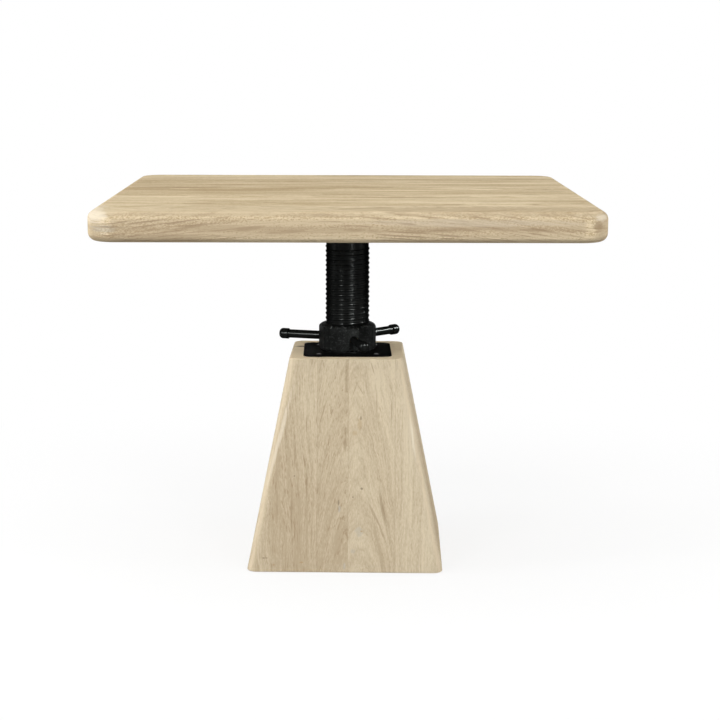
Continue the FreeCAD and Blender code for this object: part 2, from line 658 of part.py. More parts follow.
def make_nut():
    """The cast nut: a hexagon with trimmed corners, rounded shoulders, rod seats and an inner thread."""
    nut = new_body("hand_nut", place(turn="handle_bearing"))
    add_solid(nut, "Prism", "nut_hexagon",
              {"Polygon": NUT_SIDES, "Circumradius": "nut_tip", "Height": "nut_height"}, place(z="nut_foot"))
    trim = add_box(nut, "nut_trim", ("nut_side", "-nut_tip", "nut_foot"),
                   ("nut_tip", "2 * nut_tip", "nut_height"), cut=True)
    add_ring(nut, "nut_trims", [trim], NUT_SIDES)
    beyond = "max(nut_tip; nut_land + nut_top_round; nut_foot_radius + nut_foot_round) + nut_wall"
    upper = "nut_top - nut_top_round"
    turn_outline(nut, "Groove", "nut_top_shoulder",
                 [("nut_land + nut_top_round", upper), ("nut_land", "nut_top"), (beyond, "nut_top"),
                  (beyond, upper)],
                 [(0, ("nut_land", upper))])
    lower = "nut_foot + nut_foot_round"
    turn_outline(nut, "Groove", "nut_foot_shoulder",
                 [("nut_foot_radius", "nut_foot"), ("nut_foot_radius + nut_foot_round", lower),
                  (beyond, lower), (beyond, "nut_foot")],
                 [(0, ("nut_foot_radius", lower))])
    add_cylinder(nut, "nut_hole", "nut_bore", "nut_height", ("0", "0", "nut_foot"), cut=True)
    seat = add_cylinder(nut, "nut_seat", "rod_radius + fit_gap", "nut_tip",
                        ("rod_start - fit_gap", "0", "nut_foot + handle_rise"), LYING, cut=True)
    add_ring(nut, "nut_seats", [seat], "handles")
    first = f"nut_foot - {RUN_OUT_TURNS} * thread_pitch + thread_pitch * handle_bearing / {FULL_TURN}"
    length = f"nut_height + {2 * RUN_OUT_TURNS} * thread_pitch"
    wind_thread(nut, "SubtractiveHelix", "nut_thread", "thread_gap", f"({first})", length)
    return nut


def handle_place(k):
    """Where the handle with this number sits on the nut."""
    return place(z="nut_foot + handle_rise", turn=f"handle_bearing + {FULL_TURN} / handles * {k}")


def make_rod(k):
    """One handle's rod, from its seat in the nut to its end in the knob."""
    rod = new_body(f"handle_rod_{k + 1}", handle_place(k))
    add_cylinder(rod, f"rod_bar_{k + 1}", "rod_radius", "handle_reach - knob_wall - rod_start",
                 ("rod_start", "0", "0"), LYING)
    return rod


def make_knob(k):
    """One handle's knob, bored for its rod."""
    knob = new_body(f"handle_knob_{k + 1}", handle_place(k))
    spot = ("knob_start", "0", "0")
    bar = add_cylinder(knob, f"knob_bar_{k + 1}", "knob_radius", "knob_length", spot, LYING)
    tip = value_of("handle_reach")
    add_fillet(knob, bar, f"knob_end_{k + 1}", "knob_round",
               lambda edge: all(abs(vertex.Point.x - tip) < ROUND_OFF for vertex in edge.Vertexes))
    add_cylinder(knob, f"knob_bore_{k + 1}", "rod_radius + fit_gap", "knob_length - knob_wall + fit_gap",
                 spot, LYING, cut=True)
    return knob


def make_screw():
    """The hollow jack screw with its thread and the hole for the guide pin."""
    screw = new_body("jack_screw")
    add_hoop(screw, "screw_hoop", "screw_bore", "screw_core", "screw_low", "flange_under")
    add_cylinder(screw, "screw_pin_hole", "pin_radius + fit_gap", "tube_outer", PIN_SPOT, ACROSS, cut=True)
    wind_thread(screw, "AdditiveHelix", "screw_thread", "0", "thread_low", "thread_length")
    return screw


def make_flange():
    """The flange under the boards, with a collar around the screw."""
    flange = new_body("top_flange")
    add_cylinder(flange, "flange_disc", "flange_radius", "flange_thick", ("0", "0", "flange_under"))
    bore = "screw_core + fit_gap"
    add_hoop(flange, "flange_collar", bore, f"{bore} + collar_wall",
             "flange_under - collar_height", "flange_under")
    hole = add_cylinder(flange, "flange_hole", "flange_screw_radius + fit_gap", "flange_thick",
                        ("flange_screw_circle", "0", "flange_under"), cut=True)
    add_ring(flange, "flange_holes", [hole], "flange_screws")
    return flange


def make_flange_screws():
    """The screws through the flange into the boards."""
    screws = new_body("flange_screws", several=True)
    x, y, low = "flange_screw_circle", "0", "flange_under - flange_head_height"
    shank = add_cylinder(screws, "flange_shank", "flange_screw_radius", "flange_thick + flange_screw_bite",
                         (x, y, "flange_under"))
    head = add_screw_head(screws, "flange_head", (x, y, low), "flange_head_radius * head_taper",
                          "flange_head_radius", "flange_head_height")
    recess = cut_cross_recess(screws, "flange_recess", (x, y, low), "flange_head_radius",
                              "flange_head_height / 2")
    add_ring(screws, "flange_screw_ring", [shank, head] + recess, "flange_screws")
    return screws


def make_bush():
    """The ring on the screw's lower end that slides in the guide tube."""
    bush = new_body("guide_bush")
    add_hoop(bush, "bush_hoop", "screw_core + fit_gap", "bush_outer", "screw_low", "bush_top")
    add_cylinder(bush, "bush_pin_hole", "pin_radius + fit_gap", "tube_outer", PIN_SPOT, ACROSS, cut=True)
    return bush


def make_pin():
    """The pin through screw and bush, which slides in the tube's slot."""
    pin = new_body("guide_pin")
    add_cylinder(pin, "pin_bar", "pin_radius", "tube_outer - screw_bore + pin_tail",
                 ("0", "screw_bore - pin_tail", "pin_height"), ACROSS)
    return pin


def make_plug():
    """The plug in the screw's lower end, which holds the bush."""
    plug = new_body("end_plug")
    spot = ("0", "0", "plug_low")
    add_cylinder(plug, "plug_disc", "bush_outer", "plug_flange", spot)
    add_cylinder(plug, "plug_stem", "screw_bore - fit_gap", "plug_flange + plug_spigot", spot)
    return plug


def check_document():
    """Stop if any object failed, or if a cut took nothing away."""
    for thing in document.Objects:
        if "Invalid" in thing.State or "Error" in thing.State:
            raise RuntimeError(f"{thing.Label} failed: {thing.State}")
        is_cut = any(word in thing.TypeId for word in ("Subtractive", "Groove"))
        if is_cut and thing.BaseFeature.Shape.Volume - thing.Shape.Volume < ROUND_OFF:
            raise RuntimeError(f"{thing.Label} cuts nothing")


def write_pieces(pieces):
    """Check each piece's shape and write it under its label."""
    for piece in pieces:
        if piece.Shape.isNull() or not piece.Shape.isValid():
            raise RuntimeError(f"{piece.Label} has no valid shape")
    os.makedirs("parts", exist_ok=True)
    for piece in pieces:
        piece.Shape.exportStep(f"parts/{piece.Label}.step")


def main():
    """Build every piece, check it and write it."""
    fill_sheet()
    handles = range(int(value_of("handles")))
    pieces = make_top_boards() + make_staves()
    pieces += [make_cap(), make_floor_board()] + [make_corner_block(k) for k in range(len(PANELS))]
    pieces += [make_plate(), make_plate_screws(), make_washer(), make_guide_tube()]
    pieces += [make_floor_screws(), make_glides(), make_nails()]
    pieces += [make_nut()] + [make_rod(k) for k in handles] + [make_knob(k) for k in handles]
    pieces += [make_screw(), make_flange(), make_flange_screws(), make_bush(), make_pin(), make_plug()]
    document.recompute()
    check_document()
    write_pieces(pieces)


main()
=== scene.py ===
"""Dresses the telescoping pedestal table: its wood, its ironwork, the studio around it and the camera.

Metres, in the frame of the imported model: +Z is up, the floor is z = 0 and the front is -Y.
"""

import logging
import math
import random
from dataclasses import dataclass, field, replace
from enum import Enum
from typing import Any, Dict, Sequence, Tuple, Union

import bpy
from mathutils import Matrix, Vector

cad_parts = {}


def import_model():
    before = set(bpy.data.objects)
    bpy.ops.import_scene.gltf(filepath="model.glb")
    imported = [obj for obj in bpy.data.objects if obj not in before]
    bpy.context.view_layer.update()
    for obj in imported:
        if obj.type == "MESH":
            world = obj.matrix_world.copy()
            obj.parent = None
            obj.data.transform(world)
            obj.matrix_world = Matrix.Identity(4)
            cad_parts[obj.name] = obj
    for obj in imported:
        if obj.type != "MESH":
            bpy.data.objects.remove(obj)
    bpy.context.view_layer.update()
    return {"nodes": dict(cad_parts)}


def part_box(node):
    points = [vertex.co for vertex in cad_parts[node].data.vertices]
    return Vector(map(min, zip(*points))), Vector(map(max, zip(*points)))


LOG = logging.getLogger("pedestal_table")

Triple = Tuple[float, float, float]
Span = Tuple[float, float]
Value = Union["Socket", float]

RIGHTWARD: Triple = (1.0, 0.0, 0.0)
FRONTWARD: Triple = (0.0, -1.0, 0.0)
BACKWARD: Triple = (0.0, 1.0, 0.0)
UPWARD: Triple = (0.0, 0.0, 1.0)
QUARTER_TURN = math.pi / 2
WHITE: Triple = (1.0, 1.0, 1.0)
NO_CLEAR_GLOSS = 0.0
NOISE_MIDDLE = 0.5
SEEDS: Span = (10.0, 60.0)


class Side(Enum):
    """The pedestal's four sides, each with its quarter turns from the front."""

    FRONT = 0
    RIGHT = 1
    BACK = 2
    LEFT = 3


class Gloss(Enum):
    """How shiny a black coat is: its roughness and how far the roughness wanders."""

    CAST = (0.40, 0.16)
    SATIN = (0.27, 0.05)
    BRIGHT = (0.22, 0.02)


class Stain(Enum):
    """The colour of a mark in the wood."""

    # Dark knots; also thin dark lines that are painted shade inside cracks.
    KNOT_AND_CRACK_SHADE = (0.120, 0.085, 0.055)
    STREAK = (0.270, 0.185, 0.105)
    AMBER = (0.400, 0.255, 0.110)
    FILLER = (0.400, 0.385, 0.345)
    # Pale streaks in the wood; at the front edge's corners, a painted highlight.
    BLEACHED = (0.760, 0.690, 0.560)


class Face(Enum):
    """The face of a board that a mark lies on."""

    BROAD = 1
    EDGE = 2


@dataclass(frozen=True)
class Patches:
    """A kind of soft random patches.

    stretch is how many lie to the metre in each direction, shift sets them apart from the other patches of
    the same piece, detail is how many finer layers lie on top and harshness is how strong those are.
    """

    stretch: Triple
    shift: float = 0.0
    detail: float = 2.0
    harshness: float = 0.5


def evenly(count: float) -> Triple:
    """The same count in each direction."""
    return count, count, count


class Socket:
    """One value in a material; arithmetic on it adds the nodes that work it out."""

    SMOOTHLY = {"interpolation_type": "SMOOTHSTEP"}

    def __init__(self, shader: "Shader", socket: bpy.types.NodeSocket) -> None:
        """Hold a node's output and the material that it belongs to."""
        self.shader = shader
        self.socket = socket

    def __add__(self, other: Value) -> "Socket":
        """This value plus another."""
        return self.shader.math("ADD", self, other)

    def __radd__(self, other: float) -> "Socket":
        """A number plus this value."""
        return self.shader.math("ADD", other, self)

    def __sub__(self, other: Value) -> "Socket":
        """This value less another."""
        return self.shader.math("SUBTRACT", self, other)

    def __rsub__(self, other: float) -> "Socket":
        """A number less this value."""
        return self.shader.math("SUBTRACT", other, self)

    def __mul__(self, other: Value) -> "Socket":
        """This value times another."""
        return self.shader.math("MULTIPLY", self, other)

    def __rmul__(self, other: float) -> "Socket":
        """A number times this value."""
        return self.shader.math("MULTIPLY", other, self)

    def __truediv__(self, other: Value) -> "Socket":
        """This value divided by another."""
        return self.shader.math("DIVIDE", self, other)

    def __rtruediv__(self, other: float) -> "Socket":
        """A number divided by this value."""
        return self.shader.math("DIVIDE", other, self)

    def __abs__(self) -> "Socket":
        """This value without its sign."""
        return self.shader.math("ABSOLUTE", self)

    def root(self) -> "Socket":
        """The square root of this value."""
        return self.shader.math("SQRT", self)

    def fraction(self) -> "Socket":
        """What is left of this value past its last whole number."""
        return self.shader.math("FRACT", self)

    def at_most(self, other: Value) -> "Socket":
        """The lesser of this value and another."""
        return self.shader.math("MINIMUM", self, other)

    def at_least(self, other: Value) -> "Socket":
        """The greater of this value and another."""
        return self.shader.math("MAXIMUM", self, other)

    def swing(self) -> "Socket":
        """How far random patches lie above their middle, or below it."""
        return self - NOISE_MIDDLE

    def rise(self, low: float, high: float) -> "Socket":
        """A smooth step: 0 below the low value, 1 above the high one."""
        sockets = {"Value": self, "From Min": low, "From Max": high}
        return self.shader.output("ShaderNodeMapRange", self.SMOOTHLY, sockets, "Result")


class Shader:
    """A material or world under construction, with short ways to add its nodes."""

    MIX_FACTOR, MIX_COLOUR_A, MIX_COLOUR_B, MIX_COLOUR_RESULT = 0, 6, 7, 2
    # A seed shifts patches by unlike amounts, so that two seeds never show the same ones.
    SHIFT_WAY: Triple = (1.0, math.sqrt(2), math.sqrt(3))

    def __init__(self, owner: Union[bpy.types.Material, bpy.types.World]) -> None:
        """Empty the owner's node tree and start afresh.

        Args:
            owner: the material or world to fill.
        """
        owner.use_nodes = True
        self.owner = owner
        self.tree = owner.node_tree
        self.tree.nodes.clear()

    def node(self, kind: str, settings: Dict[str, Any], sockets: Dict[Any, Any]) -> bpy.types.Node:
        """Add one node.

        Args:
            kind: the node's type.
            settings: its own settings, set first.
            sockets: the value, colour or link of each input, by name or number.

        Returns:
            The new node.
        """
        node = self.tree.nodes.new(kind)
        for name, setting in settings.items():
            setattr(node, name, setting)
        for key, value in sockets.items():
            if isinstance(value, Socket):
                self.tree.links.new(value.socket, node.inputs[key])
            else:
                node.inputs[key].default_value = value
        return node

    def output(self, kind: str, settings: Dict[str, Any], sockets: Dict[Any, Any], name: Any) -> Socket:
        """Add one node and take one of its outputs.

        Args:
            kind: the node's type.
            settings: its own settings, set first.
            sockets: the value, colour or link of each input.
            name: the output's name or number.

        Returns:
            The output, ready for arithmetic.
        """
        return Socket(self, self.node(kind, settings, sockets).outputs[name])

    def math(self, operation: str, *values: Value) -> Socket:
        """One step of arithmetic on values."""
        return self.output("ShaderNodeMath", {"operation": operation}, dict(enumerate(values)), "Value")

    def place(self) -> Socket:
        """Where a point lies on its own piece, which a moving piece takes along."""
        return self.output("ShaderNodeTexCoord", {}, {}, "Object")

    def facing(self) -> Socket:
        """Which way the surface faces, as seen by its own piece."""
        return self.output("ShaderNodeTexCoord", {}, {}, "Normal")

    def along(self, vector: Socket, direction: Sequence[float]) -> Socket:
        """How far a vector reaches in a fixed direction."""
        sockets = {0: vector, 1: tuple(direction)}
        return self.output("ShaderNodeVectorMath", {"operation": "DOT_PRODUCT"}, sockets, "Value")

    def join(self, x: Value, y: Value, z: Value) -> Socket:
        """A vector from its three parts."""
        return self.output("ShaderNodeCombineXYZ", {}, {"X": x, "Y": y, "Z": z}, "Vector")

    def noise(self, vector: Socket, patches: Patches, seed: float) -> Socket:
        """Soft random patches.

        Args:
            vector: the place that they depend on.
            patches: their kind.
            seed: a shift that makes them differ from another piece's.

        Returns:
            A value about its middle.
        """
        shift = tuple((seed + patches.shift) * part for part in self.SHIFT_WAY)
        sockets = {0: vector, 1: patches.stretch, 2: shift}
        moved = self.output("ShaderNodeVectorMath", {"operation": "MULTIPLY_ADD"}, sockets, "Vector")
        sockets = {"Vector": moved, "Scale": 1.0, "Detail": patches.detail, "Roughness": patches.harshness}
        return self.output("ShaderNodeTexNoise", {"noise_dimensions": "3D"}, sockets, 0)

    def mix(self, factor: Value, first: Any, second: Any) -> Socket:
        """One colour turning into another.

        Args:
            factor: 0 for the first colour, 1 for the second.
            first: the colour at 0.
            second: the colour at 1.

        Returns:
            The mixed colour.
        """
        settings = {"data_type": "RGBA", "blend_type": "MIX", "clamp_factor": True}
        colours = {self.MIX_COLOUR_A: opaque(first), self.MIX_COLOUR_B: opaque(second)}
        sockets = {self.MIX_FACTOR: factor, **colours}
        return self.output("ShaderNodeMix", settings, sockets, self.MIX_COLOUR_RESULT)

    def bump(self, height: Socket, depth: float, strength: float) -> Socket:
        """A surface relief, as a normal.

        Args:
            height: the relief, 0 to 1.
            depth: how far 1 stands above 0, in metres.
            strength: how much of the relief shows.

        Returns:
            The bent normal.
        """
        sockets = {"Height": height, "Distance": depth, "Strength": strength}
        return self.output("ShaderNodeBump", {}, sockets, "Normal")

    def surface(self, **sockets: Any) -> bpy.types.Material:
        """Close a material with a principled surface.

        Args:
            sockets: the value, colour or link of each input, with its spaces written as underscores.

        Returns:
            The finished material.
        """
        named = {name.replace("_", " "): opaque(value) for name, value in sockets.items()}
        shader = self.output("ShaderNodeBsdfPrincipled", {}, named, "BSDF")
        self.node("ShaderNodeOutputMaterial", {}, {"Surface": shader})
        return self.owner


def opaque(colour: Any) -> Any:
    """A colour of three parts with its fourth; anything else as it is."""
    return (*colour, 1.0) if isinstance(colour, tuple) and len(colour) == 3 else colour


def seen_directly(shader: Shader) -> Socket:
    """Tell what is seen from light on its way elsewhere.

    Args:
        shader: the material or world under construction.

    Returns:
        1 for what the camera sees, straight or in metal and glass, and 0 otherwise.
    """
    path = shader.node("ShaderNodeLightPath", {}, {})
    straight, in_metal, in_glass = (
        Socket(shader, path.outputs[f"Is {kind} Ray"]) for kind in ("Camera", "Glossy", "Transmission")
    )
    return (straight + in_metal + in_glass).at_most(1.0)


@dataclass(frozen=True)
class Fleck:
    """A mark in the wood, such as a knot or a streak.

    aside and up are its middle from the middle of the broad face, across the grain and along it; on a
    board's edge, aside is its height above the broad face. wide and tall are its half sizes, all in metres,
    and slant is how far it moves aside as it runs up.
    """

    aside: float
    up: float
    wide: float
    tall: float
    strength: float
    slant: float = 0.0
    stain: Stain = Stain.STREAK
    face: Face = Face.BROAD


@dataclass(frozen=True)
class Log:
    """Where a piece lay in its log, which shapes its figure.

    The pith lies aside of the face's middle and deep behind the face. The rings lie ring apart, bow away
    from the face with the square of the distance from bow_middle, and narrow towards the top by taper.
    """

    pith_aside: float
    pith_deep: float
    ring: float = 0.004
    taper: float = 0.03
    bow: float = 0.0
    bow_middle: float = 0.0


@dataclass(frozen=True)
class Timber:
    """The stack that pieces were sawn from: the span that each measure of a log is drawn from."""

    pith_aside: Span
    pith_deep: Span
    taper: Span
    ring: float
    ring_share: Span = (0.8, 1.3)

    def draw(self, chance: random.Random) -> Log:
        """Draw one log.

        Args:
            chance: the source of its measures.

        Returns:
            The log.
        """
        return Log(
            chance.uniform(*self.pith_aside),
            chance.uniform(*self.pith_deep),
            self.ring * chance.uniform(*self.ring_share),
            chance.uniform(*self.taper),
        )


@dataclass(frozen=True)
class Look:
    """How much a piece's rings, streaks, speckles and pores show, and how much more on its edge."""

    figure: float = 0.3
    streaks: float = 0.9
    speckle: float = 1.0
    pores: float = 0.4
    edge_figure: float = 0.0
    edge_speckle: float = 0.0
    speckles: Patches = Patches((130.0, 480.0, 480.0), 3.0, harshness=0.7)


@dataclass(frozen=True)
class Sawing:
    """How one piece was sawn.

    grain, across and outward are unit vectors along its fibres, across its broad face and out of it, and
    middle is the middle of that face. Its seams lie half_width from the middle, beyond it where it has none.
    A higher tone is a darker piece. fade is painted shade: how fast the piece darkens
    down the grain towards its foot, standing in for light that falls from above.
    """

    grain: Triple
    across: Triple
    outward: Triple
    middle: Triple
    log: Log
    seed: float
    half_width: float = 1.0
    tone: float = 0.5
    fade: float = 0.0
    look: Look = Look()
    flecks: Tuple[Fleck, ...] = ()


@dataclass(frozen=True)
class Spot:
    """A place on a piece of wood.

    up, across and out are measured in the piece's own three directions, and whole is all three as a vector.
    endward, edgeward and faceward are how squarely the surface there faces each of the three, 0 to 1.
    """

    shader: Shader
    sawing: Sawing
    up: Socket
    across: Socket
    out: Socket
    whole: Socket
    endward: Socket
    edgeward: Socket
    faceward: Socket

    @classmethod
    def of(cls, shader: Shader, sawing: Sawing) -> "Spot":
        """Measure the place.

        Args:
            shader: the material under construction.
            sawing: how the piece was sawn.

        Returns:
            The place, from the middle of the broad face.
        """
        place, facing = shader.place(), shader.facing()
        ways, middle = (sawing.grain, sawing.across, sawing.outward), Vector(sawing.middle)
        measures = [shader.along(place, way) - Vector(way).dot(middle) for way in ways]
        turns = [abs(shader.along(facing, way)) for way in ways]
        return cls(shader, sawing, *measures, shader.join(*measures), *turns)

    def noise(self, vector: Socket, patches: Patches) -> Socket:
        """Soft random patches that are the piece's own."""
        return self.shader.noise(vector, patches, self.sawing.seed)


@dataclass(frozen=True)
class Patterns:
    """The patterns of a piece of wood, each 0 to 1."""

    streak: Socket
    fibre: Socket
    speckle: Socket
    cloud: Socket
    band: Socket
    pore: Socket
    late: Socket


@dataclass(frozen=True)
class WoodFinish:
    """Pale bleached hardwood: fine fibres, faint rings and a matt oil.

    Rounded edges take edge_wear_and_shade: sanding wear where it is paler than the faces, painted shade
    where it is darker, cancelling light that the roundover catches. End grain takes end_grain_and_light:
    its own colour where darker than the faces, painted light where paler, making up for shade on it.

    A weight is how much a pattern darkens the wood. A span is where a pattern, or the turn of the surface,
    goes from nothing to its full effect.
    """

    pale: Triple
    warm: Triple
    late_wood: Triple = (0.330, 0.240, 0.148)
    # Paler sanding wear on rounded edges; a colour darker than the faces here is painted shade.
    edge_wear_and_shade: Triple = (0.690, 0.580, 0.420)
    # The wood's own darker end grain; a colour paler than the faces here is painted light.
    end_grain_and_light: Triple = (0.560, 0.455, 0.320)
    glue: Triple = (0.360, 0.270, 0.180)
    tone: float = 0.42
    tone_spread: float = 0.30
    tone_span: Span = (-0.5, 0.5)

    streaks: Patches = Patches((3.0, 130.0, 12.0), 0.0, 3.0, 0.6)
    fibres: Patches = Patches((15.0, 620.0, 60.0), 5.0, harshness=0.6)
    clouds: Patches = Patches((3.0, 13.0, 13.0), 7.0, 3.0, 0.55)
    bands: Patches = Patches((1.5, 42.0, 5.0), 19.0)
    pores: Patches = Patches((42.0, 560.0, 160.0), 23.0, harshness=0.6)
    fibre_weight: float = 0.8
    cloud_weight: float = 0.9
    band_weight: float = 0.9
    pore_span: Span = (0.55, 0.70)
    pore_band_span: Span = (0.30, 0.65)
    figure_cloud_span: Span = (0.25, 0.65)

    sways: Patches = Patches((5.0, 11.0, 11.0), 11.0, 3.0, 0.55)
    sway_aside: float = 0.030
    sway_deep: float = 0.020
    jitters: Patches = Patches((4.0, 60.0, 20.0), 13.0, harshness=0.6)
    jitter_reach: float = 1.5
    breaks: Patches = Patches((22.0, 260.0, 50.0), 17.0)
    break_span: Span = (0.42, 0.62)
    ring_darkens: Span = (0.30, 0.88)
    ring_pales: Span = (0.88, 1.0)

    edge_span: Span = (0.35, 0.85)
    end_span: Span = (0.30, 1.0)
    end_grain_and_light_share: float = 0.4
    flat_span: Span = (0.74, 0.97)
    edge_wear_and_shade_share: float = 0.2
    edge_wear_and_shade_by_fibre: float = 0.6
    fray_by_streak: float = 1.2
    fray_by_fibre: float = 2.4
    mark_span: Span = (0.05, 1.0)
    mark_limit: Span = (0.6, 1.6)
    seam_width: float = 0.0010
    seam_strength: float = 0.35

    roughness: float = 0.55
    roughness_by_speckle: float = 0.15
    roughness_by_fibre: float = 0.10
    relief_depth: float = 0.0003
    relief_strength: float = 0.6
    relief_by_fibre: float = 0.5
    relief_by_speckle: float = 0.5
    relief_by_seam: float = 0.8

    def draw_tone(self, chance: random.Random) -> float:
        """A piece's own tone, drawn by chance."""
        return self.tone + self.tone_spread * chance.uniform(*self.tone_span)

    def make(self, name: str, sawing: Sawing) -> bpy.types.Material:
        """Make the material of one piece of wood.

        Args:
            name: the material's name.
            sawing: how the piece was sawn.

        Returns:
            The material.
        """
        shader = Shader(bpy.data.materials.new(name))
        spot = Spot.of(shader, sawing)
        patterns = self.patterns(spot)
        fibre, speckle = patterns.fibre, patterns.speckle
        body = self.colour_ends_and_edges(self.grow(spot, patterns), spot, fibre)
        fray = patterns.streak.swing() * self.fray_by_streak + fibre.swing() * self.fray_by_fibre
        for fleck in sawing.flecks:
            body = self.mark(fleck, body, spot, fray)
        seam = abs(spot.across).rise(sawing.half_width - self.seam_width, sawing.half_width)
        body = shader.mix(seam * self.seam_strength, body, self.glue)
        relief = fibre * self.relief_by_fibre + speckle * self.relief_by_speckle - seam * self.relief_by_seam
        return shader.surface(
            Base_Color=body,
            Roughness=self.roughness + speckle * self.roughness_by_speckle + fibre * self.roughness_by_fibre,
            Specular_IOR_Level=NO_CLEAR_GLOSS,
            Normal=shader.bump(relief, self.relief_depth, self.relief_strength),
        )

    def patterns(self, spot: Spot) -> Patterns:
        """The patterns that the tree and the saw gave a piece.

        Args:
            spot: the place on the piece.

        Returns:
            The patterns.
        """
        radius = self.radius(spot)
        lines = spot.shader.join(spot.up, radius, spot.across)
        return Patterns(
            streak=spot.noise(lines, self.streaks),
            fibre=spot.noise(lines, self.fibres),
            speckle=spot.noise(spot.whole, spot.sawing.look.speckles),
            cloud=spot.noise(spot.whole, self.clouds),
            band=spot.noise(lines, self.bands),
            pore=spot.noise(lines, self.pores).rise(*self.pore_span),
            late=self.late(spot, lines, radius),
        )

    def grow(self, spot: Spot, patterns: Patterns) -> Socket:
        """The colour that the wood grew with.

        Args:
            spot: the place on the piece.
            patterns: the piece's patterns.

        Returns:
            The colour of its broad face and edges.
        """
        sawing, mix = spot.sawing, spot.shader.mix
        look, cloud, band = sawing.look, patterns.cloud, patterns.band
        on_edge = spot.edgeward.rise(*self.edge_span)
        figure = look.figure + on_edge * look.edge_figure
        stipple = look.speckle + on_edge * look.edge_speckle
        shade = patterns.streak.swing() * look.streaks + patterns.fibre.swing() * self.fibre_weight
        shade = shade + patterns.speckle.swing() * stipple
        shade = shade + cloud.swing() * self.cloud_weight + band.swing() * self.band_weight
        # Painted shade: darker down the grain towards the foot, by fade.
        body = mix(shade - spot.up * sawing.fade + sawing.tone, self.pale, self.warm)
        ringed = patterns.late * figure * cloud.rise(*self.figure_cloud_span)
        body = mix(ringed, body, self.late_wood)
        return mix(patterns.pore * look.pores * band.rise(*self.pore_band_span), body, self.late_wood)

    def colour_ends_and_edges(self, body: Socket, spot: Spot, fibre: Socket) -> Socket:
        """Lay on the end-grain colour and the rounded edges' colour, with any painted light and shade they
        carry.

        Args:
            body: the wood's colour so far.
            spot: the place on the piece.
            fibre: the wood's fine fibres, which break up the rounded edges' colour.

        Returns:
            The colour with the ends and rounded edges laid on.
        """
        mix = spot.shader.mix
        # End grain: painted light where end_grain_and_light is paler than the faces, as on the pedestal's
        # crown.
        body = mix(spot.endward.rise(*self.end_span) * self.end_grain_and_light_share, body, self.end_grain_and_light)
        # Rounded edges: paler sanding wear on the pedestal and inner pieces, painted shade on the top.
        squarely = spot.endward.at_least(spot.edgeward).at_least(spot.faceward)
        rounded = 1 - squarely.rise(*self.flat_span)
        return mix(rounded * (self.edge_wear_and_shade_share + fibre * self.edge_wear_and_shade_by_fibre), body, self.edge_wear_and_shade)

    def radius(self, spot: Spot) -> Socket:
        """How far from the log's pith a place grew, in metres.

        Args:
            spot: the place on the piece.

        Returns:
            The distance from the pith, with the wander of a grown tree.
        """
        log = spot.sawing.log
        sway = spot.noise(spot.whole, self.sways).swing()
        bowed = spot.up - log.bow_middle
        side = spot.across - log.pith_aside + sway * self.sway_aside
        deep = spot.out + log.pith_deep + bowed * bowed * log.bow + sway * self.sway_deep
        return (side * side + deep * deep).root() + spot.up * log.taper

    def late(self, spot: Spot, lines: Socket, radius: Socket) -> Socket:
        """The late wood of the log's rings.

        Args:
            spot: the place on the piece.
            lines: the place along the rings and across them.
            radius: the distance from the pith.

        Returns:
            1 in the dark of a ring, 0 between.
        """
        jitter = spot.noise(lines, self.jitters).swing()
        within = (radius / spot.sawing.log.ring + jitter * self.jitter_reach).fraction()
        broken = spot.noise(lines, self.breaks).rise(*self.break_span)
        return within.rise(*self.ring_darkens) * (1 - within.rise(*self.ring_pales)) * broken

    def mark(self, fleck: Fleck, body: Socket, spot: Spot, fray: Socket) -> Socket:
        """Lay one mark over the wood's colour.

        Args:
            fleck: the mark.
            body: the wood's colour so far.
            spot: the place on the piece.
            fray: how far the wood's fibres eat into the mark.

        Returns:
            The marked colour.
        """
        aside = spot.across if fleck.face is Face.BROAD else spot.out
        along = spot.up - fleck.up
        tall = along / fleck.tall
        wide = (aside - fleck.aside - along * fleck.slant) / fleck.wide
        away = tall * tall + wide * wide
        near = (1 - (away + fray).rise(*self.mark_span)) * (1 - away.rise(*self.mark_limit))
        return spot.shader.mix(near * fleck.strength, body, fleck.stain.value)


